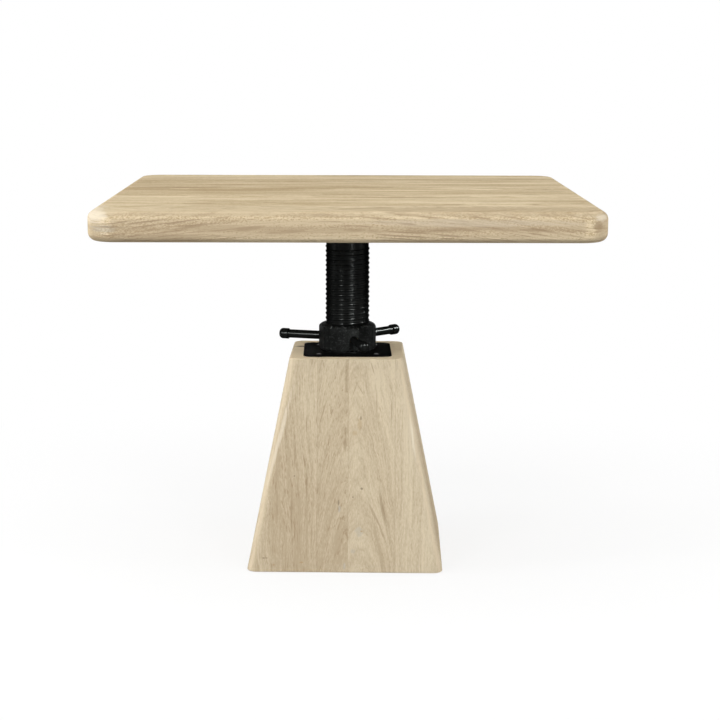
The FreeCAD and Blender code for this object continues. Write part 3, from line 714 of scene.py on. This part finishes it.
@dataclass(frozen=True)
class BlackFinish:
    """Blackened iron with a fine cast grain; wear and a painted highlight lighten its shoulders.

    metal is how much of it shines and the rest is matt, edge is its tint where the eye glances off it, and
    turned is how far the marks of a lathe draw its highlights out across them. scuff_sizes are in grains.
    A face that leans as leaning says is a shoulder, until it lies as flat as lying says.
    """

    seed: float
    low: Triple = (0.0064, 0.0068, 0.0066)
    high: Triple = (0.0092, 0.0098, 0.0095)
    # Wear on the shoulders, and a painted highlight that picks out their edges.
    wear_and_highlight: Triple = (0.100, 0.106, 0.104)
    metal: float = 0.35
    edge: Triple = evenly(0.30)
    gloss: Gloss = Gloss.SATIN
    turned: float = 0.0
    across_the_marks: float = 0.25
    grain_size: float = 0.0012
    grain_depth: float = 0.00006
    grain_strength: float = 0.6
    grain_span: Span = (0.30, 0.72)
    grain_share: float = 0.5
    blotches: Patches = Patches(evenly(34.0), 5.0, 3.0, 0.6)
    blotch_span: Span = (0.32, 0.70)
    scuffs: Patches = Patches(evenly(1.0), 9.0, 3.0, 0.7)
    scuff_sizes: Triple = (3.0, 3.0, 2.0)
    scuff_span: Span = (0.52, 0.70)
    leaning: Span = (0.06, 0.35)
    lying: Span = (0.80, 0.97)
    wear_and_highlight_strength: float = 0.10
    wear_and_highlight_off_shoulder: float = 0.12

    def make(self, name: str) -> bpy.types.Material:
        """Make the material of one kind of ironwork.

        Args:
            name: the material's name.

        Returns:
            The material.
        """
        shader = Shader(bpy.data.materials.new(name))
        place = shader.place()
        fine = 1.0 / self.grain_size
        scuffs = replace(self.scuffs, stretch=tuple(fine / size for size in self.scuff_sizes))
        grain = shader.noise(place, Patches(evenly(fine)), self.seed).rise(*self.grain_span)
        blotch = shader.noise(place, self.blotches, self.seed).rise(*self.blotch_span)
        scuff = shader.noise(place, scuffs, self.seed).rise(*self.scuff_span)
        lean = abs(shader.along(shader.facing(), UPWARD))
        shoulder = lean.rise(*self.leaning) * (1 - lean.rise(*self.lying))
        colour = shader.mix(grain * self.grain_share + blotch * (1 - self.grain_share), self.low, self.high)
        # Wear and painted highlight: random scuffs lighten the shoulders, and faintly the faces.
        wear_and_highlight_share = scuff * (self.wear_and_highlight_off_shoulder + shoulder * (1 - self.wear_and_highlight_off_shoulder)) * self.wear_and_highlight_strength
        roughness, wander = self.gloss.value
        return shader.surface(
            Base_Color=shader.mix(wear_and_highlight_share, colour, self.wear_and_highlight),
            Metallic=self.metal,
            Specular_IOR_Level=NO_CLEAR_GLOSS,
            Specular_Tint=self.edge,
            Roughness=(roughness - wander / 2) + blotch * wander,
            Anisotropic=self.turned,
            Anisotropic_Rotation=self.across_the_marks,
            Normal=shader.bump(grain, self.grain_depth, self.grain_strength),
        )


@dataclass(frozen=True)
class MetalFinish:
    """Bare metal with brushed scratches and faint stains."""

    seed: float
    bright: Triple
    stained: Triple
    roughness: float
    stains: Patches = Patches(evenly(140.0), 0.0, 3.0, 0.6)
    stain_span: Span = (0.35, 0.75)
    stain_share: float = 0.6
    roughness_by_stain: float = 0.15
    scratches: Patches = Patches((2600.0, 500.0, 500.0), 2.0)
    roughness_by_scratch: float = 0.10
    scratch_depth: float = 0.00003
    scratch_strength: float = 0.5

    def make(self, name: str) -> bpy.types.Material:
        """Make the material of one kind of bare metal.

        Args:
            name: the material's name.

        Returns:
            The material.
        """
        shader = Shader(bpy.data.materials.new(name))
        place = shader.place()
        stain = shader.noise(place, self.stains, self.seed).rise(*self.stain_span)
        scratch = shader.noise(place, self.scratches, self.seed)
        return shader.surface(
            Base_Color=shader.mix(stain * self.stain_share, self.bright, self.stained),
            Metallic=1.0,
            Roughness=self.roughness + stain * self.roughness_by_stain + scratch * self.roughness_by_scratch,
            Normal=shader.bump(scratch, self.scratch_depth, self.scratch_strength),
        )


@dataclass(frozen=True)
class NylonFinish:
    """Plain moulded nylon, off-white, slightly mottled and matt."""

    seed: float
    dark: Triple = (0.58, 0.55, 0.49)
    light: Triple = (0.70, 0.68, 0.62)
    roughness: float = 0.45
    mottling: Patches = Patches(evenly(220.0), 0.0, 3.0)
    roughness_by_mottling: float = 0.2
    pebbles: Patches = Patches(evenly(1800.0), 1.0, 1.0)
    pebble_depth: float = 0.00005
    pebble_strength: float = 0.5

    def make(self, name: str) -> bpy.types.Material:
        """Make the material of the moulded pieces.

        Args:
            name: the material's name.

        Returns:
            The material.
        """
        shader = Shader(bpy.data.materials.new(name))
        place = shader.place()
        mottle = shader.noise(place, self.mottling, self.seed)
        pebble = shader.noise(place, self.pebbles, self.seed)
        return shader.surface(
            Base_Color=shader.mix(mottle, self.dark, self.light),
            Roughness=self.roughness + mottle * self.roughness_by_mottling,
            Normal=shader.bump(pebble, self.pebble_depth, self.pebble_strength),
        )


def cover(piece: bpy.types.Object, material: bpy.types.Material) -> None:
    """Give every slot of a piece the same material and report it.

    Args:
        piece: the piece to dress.
        material: its material.
    """
    for slot in piece.material_slots:
        slot.material = material
    LOG.info("dressed %s in %s", piece.name, material.name)


@dataclass
class TableTop:
    """The square top: boards from side to side, each with its own figure.

    The front board is a livelier one, and paler than the rest by front_light.
    """

    nodes: Dict[str, bpy.types.Object]
    finish: WoodFinish
    boards: int = 7
    seed: int = 31
    timber: Timber = Timber((-0.06, 0.06), pith_deep=(0.05, 0.12), taper=(-0.02, 0.02), ring=0.005)
    look: Look = Look(figure=0.55, streaks=2.8, speckle=1.8)
    front_light: float = 0.25
    front_log: Log = Log(pith_aside=0.02, pith_deep=0.20, ring=0.0062, taper=0.0, bow=0.22, bow_middle=-0.03)
    front_look: Look = Look(
        figure=0.25,
        streaks=3.2,
        speckle=1.8,
        pores=0.5,
        edge_figure=0.80,
        edge_speckle=3.6,
        speckles=Patches((230.0, 480.0, 480.0), 3.0, harshness=0.7),
    )
    flecks: Dict[int, Tuple[Fleck, ...]] = field(default_factory=lambda: {
        1: (
            Fleck(0.0, 0.240, 0.080, 0.36, 0.45),
            Fleck(-0.004, -0.220, 0.012, 0.32, 0.22, face=Face.EDGE),
            Fleck(-0.0290, 0.0, 0.0075, 0.75, 0.28, face=Face.EDGE),
            Fleck(-0.047, -0.330, 0.012, 0.16, 0.42, face=Face.EDGE),
            # Painted shade: a thin dark line near the left end of the front edge, standing in for the shade
            # inside a crack.
            Fleck(-0.026, -0.409, 0.0014, 0.030, 0.60, stain=Stain.KNOT_AND_CRACK_SHADE, face=Face.EDGE),
            Fleck(-0.0276, -0.281, 0.0035, 0.034, 0.45, 0.143, face=Face.EDGE),
            Fleck(-0.027, -0.170, 0.0040, 0.032, 0.40, 0.120, face=Face.EDGE),
            Fleck(-0.034, -0.107, 0.0030, 0.040, 0.45, 0.080, face=Face.EDGE),
            Fleck(-0.0305, 0.014, 0.0030, 0.022, 0.40, face=Face.EDGE),
            Fleck(-0.032, 0.119, 0.0040, 0.042, 0.40, face=Face.EDGE),
            Fleck(-0.030, 0.190, 0.0040, 0.055, 0.40, face=Face.EDGE),
            Fleck(-0.0295, 0.324, 0.0030, 0.045, 0.45, face=Face.EDGE),
            Fleck(-0.032, 0.395, 0.0030, 0.030, 0.35, face=Face.EDGE),
            Fleck(-0.024, 0.4340, 0.0170, 0.010, 0.60, face=Face.EDGE),
            Fleck(-0.034, -0.220, 0.016, 0.30, 0.18, face=Face.EDGE),
            Fleck(-0.018, 0.220, 0.008, 0.24, 0.35, stain=Stain.BLEACHED, face=Face.EDGE),
            Fleck(-0.031, -0.425, 0.012, 0.030, 0.40, stain=Stain.FILLER, face=Face.EDGE),
            # Painted highlights: pale patches at both ends of the front edge, where the rounded corners
            # catch the light.
            Fleck(-0.010, -0.440, 0.014, 0.026, 0.60, stain=Stain.BLEACHED, face=Face.EDGE),
            Fleck(-0.010, 0.4400, 0.008, 0.014, 0.55, stain=Stain.BLEACHED, face=Face.EDGE),
        ),
        2: (Fleck(0.039, -0.010, 0.008, 0.020, 0.40),),
        3: (Fleck(-0.010, 0.117, 0.010, 0.18, 0.50), Fleck(0.056, 0.351, 0.008, 0.026, 0.45)),
        4: (Fleck(0.009, 0.413, 0.008, 0.024, 0.40), Fleck(0.055, -0.111, 0.012, 0.040, 0.40)),
        5: (Fleck(-0.037, -0.340, 0.012, 0.15, 0.50), Fleck(-0.040, 0.030, 0.008, 0.22, 0.30)),
        6: (Fleck(0.060, 0.362, 0.015, 0.045, 0.35), Fleck(-0.020, 0.120, 0.010, 0.20, 0.30)),
    })

    def dress(self) -> None:
        """Give each board its own cut of the wood."""
        chance = random.Random(self.seed)
        for number in range(1, self.boards + 1):
            name = f"top_board_{number}"
            cover(self.nodes[name], self.finish.make(f"wood_{name}", self.sawing(number, name, chance)))

    def sawing(self, number: int, name: str, chance: random.Random) -> Sawing:
        """How a board was sawn.

        Args:
            number: the board's place, counted from the front.
            name: the board's node.
            chance: the source of its own figure.

        Returns:
            Its sawing, drawn by chance except for the front board, whose edge shows a long low hill.
        """
        low, high = (Vector(corner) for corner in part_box(name))
        log = self.timber.draw(chance)
        seed = chance.uniform(*SEEDS)
        tone = self.finish.draw_tone(chance)
        board = Sawing(
            grain=RIGHTWARD,
            across=BACKWARD,
            outward=UPWARD,
            middle=(0.0, (low.y + high.y) / 2, high.z),
            log=log,
            seed=seed,
            half_width=(high.y - low.y) / 2,
            tone=tone,
            look=self.look,
            flecks=self.flecks.get(number, ()),
        )
        if number > 1:
            return board
        return replace(board, log=self.front_log, tone=tone - self.front_light, look=self.front_look)


@dataclass
class Pedestal:
    """The wooden pedestal: four leaning panels of four staves, with a cap, a floor board and blocks inside.

    turn is how far it stands turned on the floor. The seams are measured across a panel, from its middle.
    """

    nodes: Dict[str, bpy.types.Object]
    finish: WoodFinish
    inner: WoodFinish
    turn: float = math.radians(-1.6)
    foot_half: float = 0.1905
    crown_half: float = 0.11075
    foot: float = 0.0008
    crown: float = 0.4078
    seams: Tuple[float, ...] = (-0.055, 0.006, 0.097)
    staves: int = 4
    blocks: int = 4
    seed: int = 77
    timber: Timber = Timber((-0.06, 0.06), pith_deep=(0.04, 0.10), taper=(0.04, 0.12), ring=0.0035)
    look: Look = Look(figure=0.20, streaks=1.6, speckle=1.6, pores=0.5)
    # Painted shade: the staves darken towards the foot, standing in for light that falls from above.
    fade: float = 1.3
    inner_pith_aside: Span = (-0.05, 0.05)
    inner_pith_deep: Span = (0.05, 0.10)
    pores: Dict[str, float] = field(default_factory=lambda: {"stave_front_1": 0.9, "stave_front_2": 0.7})
    logs: Dict[str, Log] = field(default_factory=lambda: {
        "stave_front_1": Log(-0.16, 0.10, 0.0048, 0.02),
        "stave_front_2": Log(0.026, 0.050, 0.0026, 0.13),
        "stave_front_3": Log(-0.024, 0.055, 0.0032, 0.11),
        "stave_front_4": Log(0.20, 0.12, 0.0055, 0.02),
    })
    tones: Dict[str, float] = field(default_factory=lambda: {
        "stave_front_1": 0.60,
        "stave_front_2": 0.62,
        "stave_front_3": 0.48,
        "stave_front_4": 0.15,
    })
    flecks: Dict[str, Tuple[Fleck, ...]] = field(default_factory=lambda: {
        "stave_front_1": (
            Fleck(0.0244, -0.0205, 0.0022, 0.0022, 0.6, stain=Stain.KNOT_AND_CRACK_SHADE),
            Fleck(-0.033, -0.180, 0.0065, 0.0013, 0.7, stain=Stain.KNOT_AND_CRACK_SHADE),
            Fleck(0.039, -0.188, 0.004, 0.002, 0.6, stain=Stain.AMBER),
            Fleck(-0.015, -0.193, 0.003, 0.0015, 0.5, stain=Stain.AMBER),
            Fleck(0.047, 0.078, 0.0018, 0.022, 0.5),
            Fleck(0.025, 0.027, 0.0022, 0.032, 0.45),
            Fleck(-0.009, -0.084, 0.0018, 0.038, 0.5),
            Fleck(0.019, -0.093, 0.0022, 0.055, 0.45),
            Fleck(0.048, -0.036, 0.0022, 0.050, 0.5),
            Fleck(-0.006, 0.050, 0.0050, 0.110, 0.55, 0.256, Stain.BLEACHED),
        ),
        "stave_front_2": (
            Fleck(0.012, -0.071, 0.0019, 0.0065, 0.5, stain=Stain.KNOT_AND_CRACK_SHADE),
            Fleck(0.0135, -0.083, 0.003, 0.008, 0.5, stain=Stain.FILLER),
            Fleck(0.024, -0.195, 0.003, 0.008, 0.4, stain=Stain.FILLER),
            Fleck(0.024, 0.042, 0.004, 0.018, 0.45),
            Fleck(0.025, 0.065, 0.003, 0.016, 0.4),
            Fleck(0.026, 0.170, 0.004, 0.040, 0.4),
            Fleck(-0.021, 0.098, 0.0014, 0.030, 0.55, 0.287),
        ),
        "stave_front_3": (
            Fleck(-0.019, -0.044, 0.0030, 0.0026, 0.6, stain=Stain.KNOT_AND_CRACK_SHADE),
            Fleck(-0.036, -0.061, 0.0018, 0.0028, 0.6, stain=Stain.KNOT_AND_CRACK_SHADE),
            Fleck(-0.024, -0.127, 0.009, 0.012, 0.35, stain=Stain.FILLER),
            Fleck(-0.019, -0.127, 0.0024, 0.0020, 0.7, stain=Stain.AMBER),
            Fleck(-0.035, -0.166, 0.006, 0.006, 0.4, stain=Stain.FILLER),
            Fleck(0.0195, -0.074, 0.0030, 0.032, 0.45, -0.135),
            Fleck(0.0250, -0.094, 0.0026, 0.026, 0.45, -0.135),
            Fleck(0.020, -0.127, 0.0025, 0.028, 0.4, -0.37),
            Fleck(0.004, -0.092, 0.003, 0.026, 0.4, -0.46),
            Fleck(-0.024, 0.080, 0.005, 0.013, 0.3, stain=Stain.AMBER),
            Fleck(-0.0215, 0.093, 0.0015, 0.005, 0.55, stain=Stain.KNOT_AND_CRACK_SHADE),
            Fleck(-0.033, 0.063, 0.007, 0.006, 0.3, stain=Stain.AMBER),
            Fleck(0.038, 0.104, 0.0018, 0.034, 0.4),
            Fleck(0.009, 0.118, 0.0016, 0.034, 0.4),
            Fleck(0.0005, 0.190, 0.0014, 0.014, 0.5, -0.3),
            Fleck(-0.0345, 0.146, 0.0015, 0.015, 0.4, 0.33),
            Fleck(-0.023, 0.149, 0.0015, 0.013, 0.4, -0.59),
        ),
        "stave_front_4": (
            Fleck(-0.013, 0.085, 0.004, 0.012, 0.5, stain=Stain.AMBER),
            Fleck(-0.013, 0.055, 0.0030, 0.050, 0.75, -0.117, Stain.BLEACHED),
        ),
        # Painted shade: a dark line on the crown's end grain, standing in for the shade inside a crack.
        "stave_left_2": (Fleck(-0.0118, 0.2125, 0.0090, 0.0050, 0.85, stain=Stain.KNOT_AND_CRACK_SHADE),),
    })

    def dress(self) -> None:
        """Give each stave its own cut of the wood, and the hidden boards a plainer one."""
        chance = random.Random(self.seed)
        for side in Side:
            for number in range(1, self.staves + 1):
                name = f"stave_{side.name.lower()}_{number}"
                sawing = self.sawing(side, number, name, chance)
                cover(self.nodes[name], self.finish.make(f"wood_{name}", sawing))
        for name in ["pedestal_cap", "floor_board"]:
            high = Vector(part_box(name)[1])
            self.dress_inner(name, (RIGHTWARD, BACKWARD, UPWARD), (0.0, 0.0, high.z), chance)
        for number in range(1, self.blocks + 1):
            name = f"corner_block_{number}"
            low, high = (Vector(corner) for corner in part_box(name))
            self.dress_inner(name, (UPWARD, RIGHTWARD, FRONTWARD), tuple((low + high) / 2), chance)

    def dress_inner(self, name: str, ways: Sequence[Triple], middle: Triple, chance: random.Random) -> None:
        """Give a hidden piece a plain cut of the inner wood.

        Args:
            name: the piece's node.
            ways: the directions along its grain, across its face and out of it.
            middle: the middle of its face.
            chance: the source of its own figure.
        """
        log = Log(chance.uniform(*self.inner_pith_aside), chance.uniform(*self.inner_pith_deep))
        sawing = Sawing(*ways, middle, log, chance.uniform(*SEEDS))
        cover(self.nodes[name], self.inner.make(f"wood_{name}", sawing))

    def sawing(self, side: Side, number: int, name: str, chance: random.Random) -> Sawing:
        """How a stave was sawn.

        Args:
            side: the side of the pedestal that it is on.
            number: its place in the panel, counted from the left as one faces it.
            name: the stave's node.
            chance: the source of its own figure.

        Returns:
            Its sawing, with its fibres running up the leaning face.
        """
        spin = Matrix.Rotation(self.turn + side.value * QUARTER_TURN, 3, "Z")
        lean = math.atan2(self.foot_half - self.crown_half, self.crown - self.foot)
        face = spin @ Vector(FRONTWARD)
        across = spin @ Vector(RIGHTWARD)
        upward = Vector(UPWARD)
        edges = (-self.foot_half, *self.seams, self.foot_half)
        left, right = edges[number - 1], edges[number]
        face_middle = face * ((self.foot_half + self.crown_half) / 2)
        middle = face_middle + across * ((left + right) / 2) + upward * ((self.foot + self.crown) / 2)
        log = self.timber.draw(chance)
        tone = self.finish.draw_tone(chance)
        return Sawing(
            grain=tuple(upward * math.cos(lean) - face * math.sin(lean)),
            across=tuple(across),
            outward=tuple(face * math.cos(lean) + upward * math.sin(lean)),
            middle=tuple(middle),
            log=self.logs.get(name, log),
            seed=chance.uniform(*SEEDS),
            half_width=(right - left) / 2,
            tone=self.tones.get(name, tone),
            fade=self.fade,
            look=replace(self.look, pores=self.pores.get(name, self.look.pores)),
            flecks=self.flecks.get(name, ()),
        )


@dataclass
class Ironwork:
    """The jack screw, the handled nut, the plate and everything that holds them together."""

    nodes: Dict[str, bpy.types.Object]
    handles: int = 3
    cast: BlackFinish = BlackFinish(
        seed=3.0,
        low=(0.0025, 0.0027, 0.0026),
        high=(0.0085, 0.0091, 0.0088),
        metal=0.31,
        edge=evenly(0.58),
        gloss=Gloss.CAST,
        grain_size=0.0016,
        grain_depth=0.00016,
        # A strong painted highlight and wear on the nut's shoulders.
        wear_and_highlight_strength=1.4,
    )
    rod: BlackFinish = BlackFinish(seed=8.0, gloss=Gloss.BRIGHT, grain_depth=0.0000005, wear_and_highlight_strength=0.05)
    steel: BlackFinish = BlackFinish(seed=14.0, metal=0.55, turned=0.25, grain_depth=0.000004, wear_and_highlight_strength=0.02)
    plate: BlackFinish = BlackFinish(seed=21.0, edge=evenly(0.070), grain_depth=0.00001, wear_and_highlight_strength=0.05)
    zinc: MetalFinish = MetalFinish(5.0, (0.064, 0.064, 0.066), (0.030, 0.030, 0.032), 0.36)
    nylon: NylonFinish = NylonFinish(seed=7.0)

    def dress(self) -> None:
        """Give each piece of metal and nylon its finish."""
        numbers = range(1, self.handles + 1)
        handle_pieces = [f"handle_{part}_{number}" for number in numbers for part in ("rod", "knob")]
        turned_pieces = ["jack_screw", "top_flange", "guide_tube", "guide_pin", "thrust_washer"]
        fasteners = ["plate_screws", "flange_screws", "floor_screws", "glide_nails"]
        coats = (
            (self.cast, "cast_black", ["hand_nut"]),
            (self.rod, "handle_black", handle_pieces),
            (self.steel, "black_steel", turned_pieces),
            (self.plate, "plate_black", ["bearing_plate"]),
            (self.zinc, "zinc", fasteners),
            (self.nylon, "nylon", ["guide_bush", "end_plug", "floor_glides"]),
        )
        for finish, coat, pieces in coats:
            material = finish.make(coat)
            for piece in pieces:
                cover(self.nodes[piece], material)


@dataclass(frozen=True)
class SoftBox:
    """One flat lamp of the studio, turned to a height on the screw's axis.

    One that only glints shows in metal and adds no light to the wood.
    """

    name: str
    place: Triple
    aim: float
    power: float
    width: float = 0.80
    height: float = 1.6
    only_glints: bool = False

    def build(self) -> None:
        """Hang the lamp and turn it to its aim."""
        lamp = bpy.data.lights.new(self.name, "AREA")
        lamp.shape = "RECTANGLE"
        lamp.size = self.width
        lamp.size_y = self.height
        lamp.energy = self.power
        hung = bpy.data.objects.new(self.name, lamp)
        hung.visible_diffuse = not self.only_glints
        hung.location = self.place
        sight = Vector(UPWARD) * self.aim - Vector(self.place)
        hung.rotation_euler = sight.to_track_quat("-Z", "Y").to_euler()
        bpy.context.scene.collection.objects.link(hung)
        LOG.info("lit %s", self.name)


@dataclass
class Studio:
    """A pale floor under soft lamps, with a white surround.

    The floor is nearly white to the eye and greyer to the light that it throws back. Its shadows die away
    between shadow_near and shadow_far from the table's middle, and the sky dims over sky_turn as it climbs.
    """

    floor_reach: float = 60.0
    floor_seen: Triple = evenly(0.92)
    floor_lit: Triple = evenly(0.28)
    floor_whiteness: float = 0.80
    shadow_near: float = 0.6
    shadow_far: float = 1.5
    low_sky: float = 1.15
    high_sky: float = 0.50
    seen_sky: float = 1.0
    sky_turn: Span = (0.40, 0.70)
    lamps: Tuple[SoftBox, ...] = (
        SoftBox("front_right", (1.35, -2.90, 1.45), aim=0.55, power=23.0),
        SoftBox("front_left", (-1.70, -2.71, 1.85), aim=0.55, power=26.5),
        SoftBox("side_right", (3.0, -0.65, 1.20), aim=0.45, power=21.0),
        SoftBox("side_left", (-3.0, -0.65, 1.30), aim=0.45, power=44.0),
        SoftBox("overhead", (0.0, -0.80, 3.10), aim=0.70, power=8.0, width=2.00, height=1.2),
        SoftBox("glint_right", (1.33, -2.91, 1.42), 0.55, 500.0, width=0.12, height=1.2, only_glints=True),
        SoftBox("glint_left", (-1.705, -2.71, 1.68), 0.55, 460.0, width=0.22, height=1.2, only_glints=True),
        SoftBox("glint_side", (3.0, 0.16, 1.95), 0.45, 520.0, width=0.30, height=0.7, only_glints=True),
    )

    def build(self) -> None:
        """Lay the floor, light the lamps and colour the surround."""
        bpy.context.scene.view_settings.view_transform = "Standard"
        self.lay_floor()
        self.colour_surround()
        for lamp in self.lamps:
            lamp.build()

    def lay_floor(self) -> None:
        """A wide plane that shows nearly white and keeps the table's shadow."""
        reach = self.floor_reach
        corners = [(-reach, -reach, 0.0), (reach, -reach, 0.0), (reach, reach, 0.0), (-reach, reach, 0.0)]
        mesh = bpy.data.meshes.new("floor")
        mesh.from_pydata(corners, [], [range(len(corners))])
        floor = bpy.data.objects.new("floor", mesh)
        bpy.context.scene.collection.objects.link(floor)
        mesh.materials.append(self.floor_material())
        LOG.info("laid the floor")

    def floor_material(self) -> bpy.types.Material:
        """Make the floor's material.

        Returns:
            Matt paint that glows by itself where it is seen, and wholly so away from the table.
        """
        material = bpy.data.materials.new("floor")
        shader = Shader(material)
        seen = seen_directly(shader)
        lit, shown = (self.matt_paint(shader, colour) for colour in (self.floor_lit, self.floor_seen))
        glow = shader.output("ShaderNodeEmission", {}, {"Color": opaque(WHITE)}, "Emission")
        away = shader.output("ShaderNodeVectorMath", {"operation": "LENGTH"}, {0: shader.place()}, "Value")
        beyond = away.rise(self.shadow_near, self.shadow_far)
        share = seen * (self.floor_whiteness + beyond * (1 - self.floor_whiteness))
        paint = self.blend(shader, seen, lit, shown)
        shader.node("ShaderNodeOutputMaterial", {}, {"Surface": self.blend(shader, share, paint, glow)})
        return material

    def colour_surround(self) -> None:
        """A world that is white to the eye and gives a gentle light, stronger near the horizon."""
        world = bpy.data.worlds.new("studio")
        bpy.context.scene.world = world
        shader = Shader(world)
        direction = shader.output("ShaderNodeTexCoord", {}, {}, "Generated")
        height = shader.along(direction, UPWARD)
        levels = (self.low_sky, self.high_sky, self.seen_sky)
        low, high, white = (self.even_light(shader, level) for level in levels)
        gentle = self.blend(shader, height.rise(*self.sky_turn), low, high)
        both = self.blend(shader, seen_directly(shader), gentle, white)
        shader.node("ShaderNodeOutputWorld", {}, {"Surface": both})
        LOG.info("coloured the surround")

    @staticmethod
    def matt_paint(shader: Shader, colour: Triple) -> Socket:
        """Paint of one colour without any gloss."""
        return shader.output("ShaderNodeBsdfDiffuse", {}, {"Color": opaque(colour)}, "BSDF")

    @staticmethod
    def even_light(shader: Shader, level: float) -> Socket:
        """White light of one strength from every direction."""
        sockets = {"Color": opaque(WHITE), "Strength": level}
        return shader.output("ShaderNodeBackground", {}, sockets, "Background")

    @staticmethod
    def blend(shader: Shader, share: Socket, first: Socket, second: Socket) -> Socket:
        """One light or surface turning into another."""
        return shader.output("ShaderNodeMixShader", {}, {0: share, 1: first, 2: second}, "Shader")


@dataclass(frozen=True)
class PhotoCamera:
    """The camera where the photographer stood: just above the top, a little to the left of the middle."""

    place: Triple = (-0.0094, -3.585, 1.013)
    pitch_down: float = math.radians(9.91)
    turn_right: float = math.radians(0.556)
    roll: float = math.radians(0.18)
    lens: float = 90.66
    sensor: float = 36.0

    def build(self) -> None:
        """Set the camera up and look through it."""
        data = bpy.data.cameras.new("photo_camera")
        data.sensor_width = self.sensor
        data.lens = self.lens
        camera = bpy.data.objects.new("photo_camera", data)
        camera.matrix_world = (
            Matrix.Translation(self.place)
            @ Matrix.Rotation(-self.turn_right, 4, "Z")
            @ Matrix.Rotation(QUARTER_TURN - self.pitch_down, 4, "X")
            @ Matrix.Rotation(self.roll, 4, "Z")
        )
        bpy.context.scene.collection.objects.link(camera)
        bpy.context.scene.camera = camera
        LOG.info("set up the camera")


def main() -> None:
    """Load the table, dress it piece by piece and set up the studio."""
    logging.basicConfig(level=logging.INFO, format="%(message)s")
    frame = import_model()
    nodes = frame["nodes"]
    top_wood = WoodFinish(
        pale=(0.698, 0.584, 0.395),
        warm=(0.443, 0.335, 0.197),
        # Painted shade: the top's rounded edges darker than its faces, cancelling the light the roundover
        # catches.
        edge_wear_and_shade=(0.395, 0.315, 0.212),
    )
    pedestal_wood = WoodFinish(
        pale=(0.636, 0.550, 0.400),
        warm=(0.455, 0.367, 0.250),
        # Painted light: the crown's end grain far paler than the staves' faces, making up for the shade the
        # top casts there.
        end_grain_and_light=(0.905, 0.777, 0.560),
        end_grain_and_light_share=0.9,
    )
    inner_wood = WoodFinish(pale=(0.600, 0.470, 0.290), warm=(0.500, 0.370, 0.210))
    TableTop(nodes, top_wood).dress()
    Pedestal(nodes, pedestal_wood, inner_wood).dress()
    Ironwork(nodes).dress()
    Studio().build()
    PhotoCamera().build()


if __name__ == "__main__":
    main()
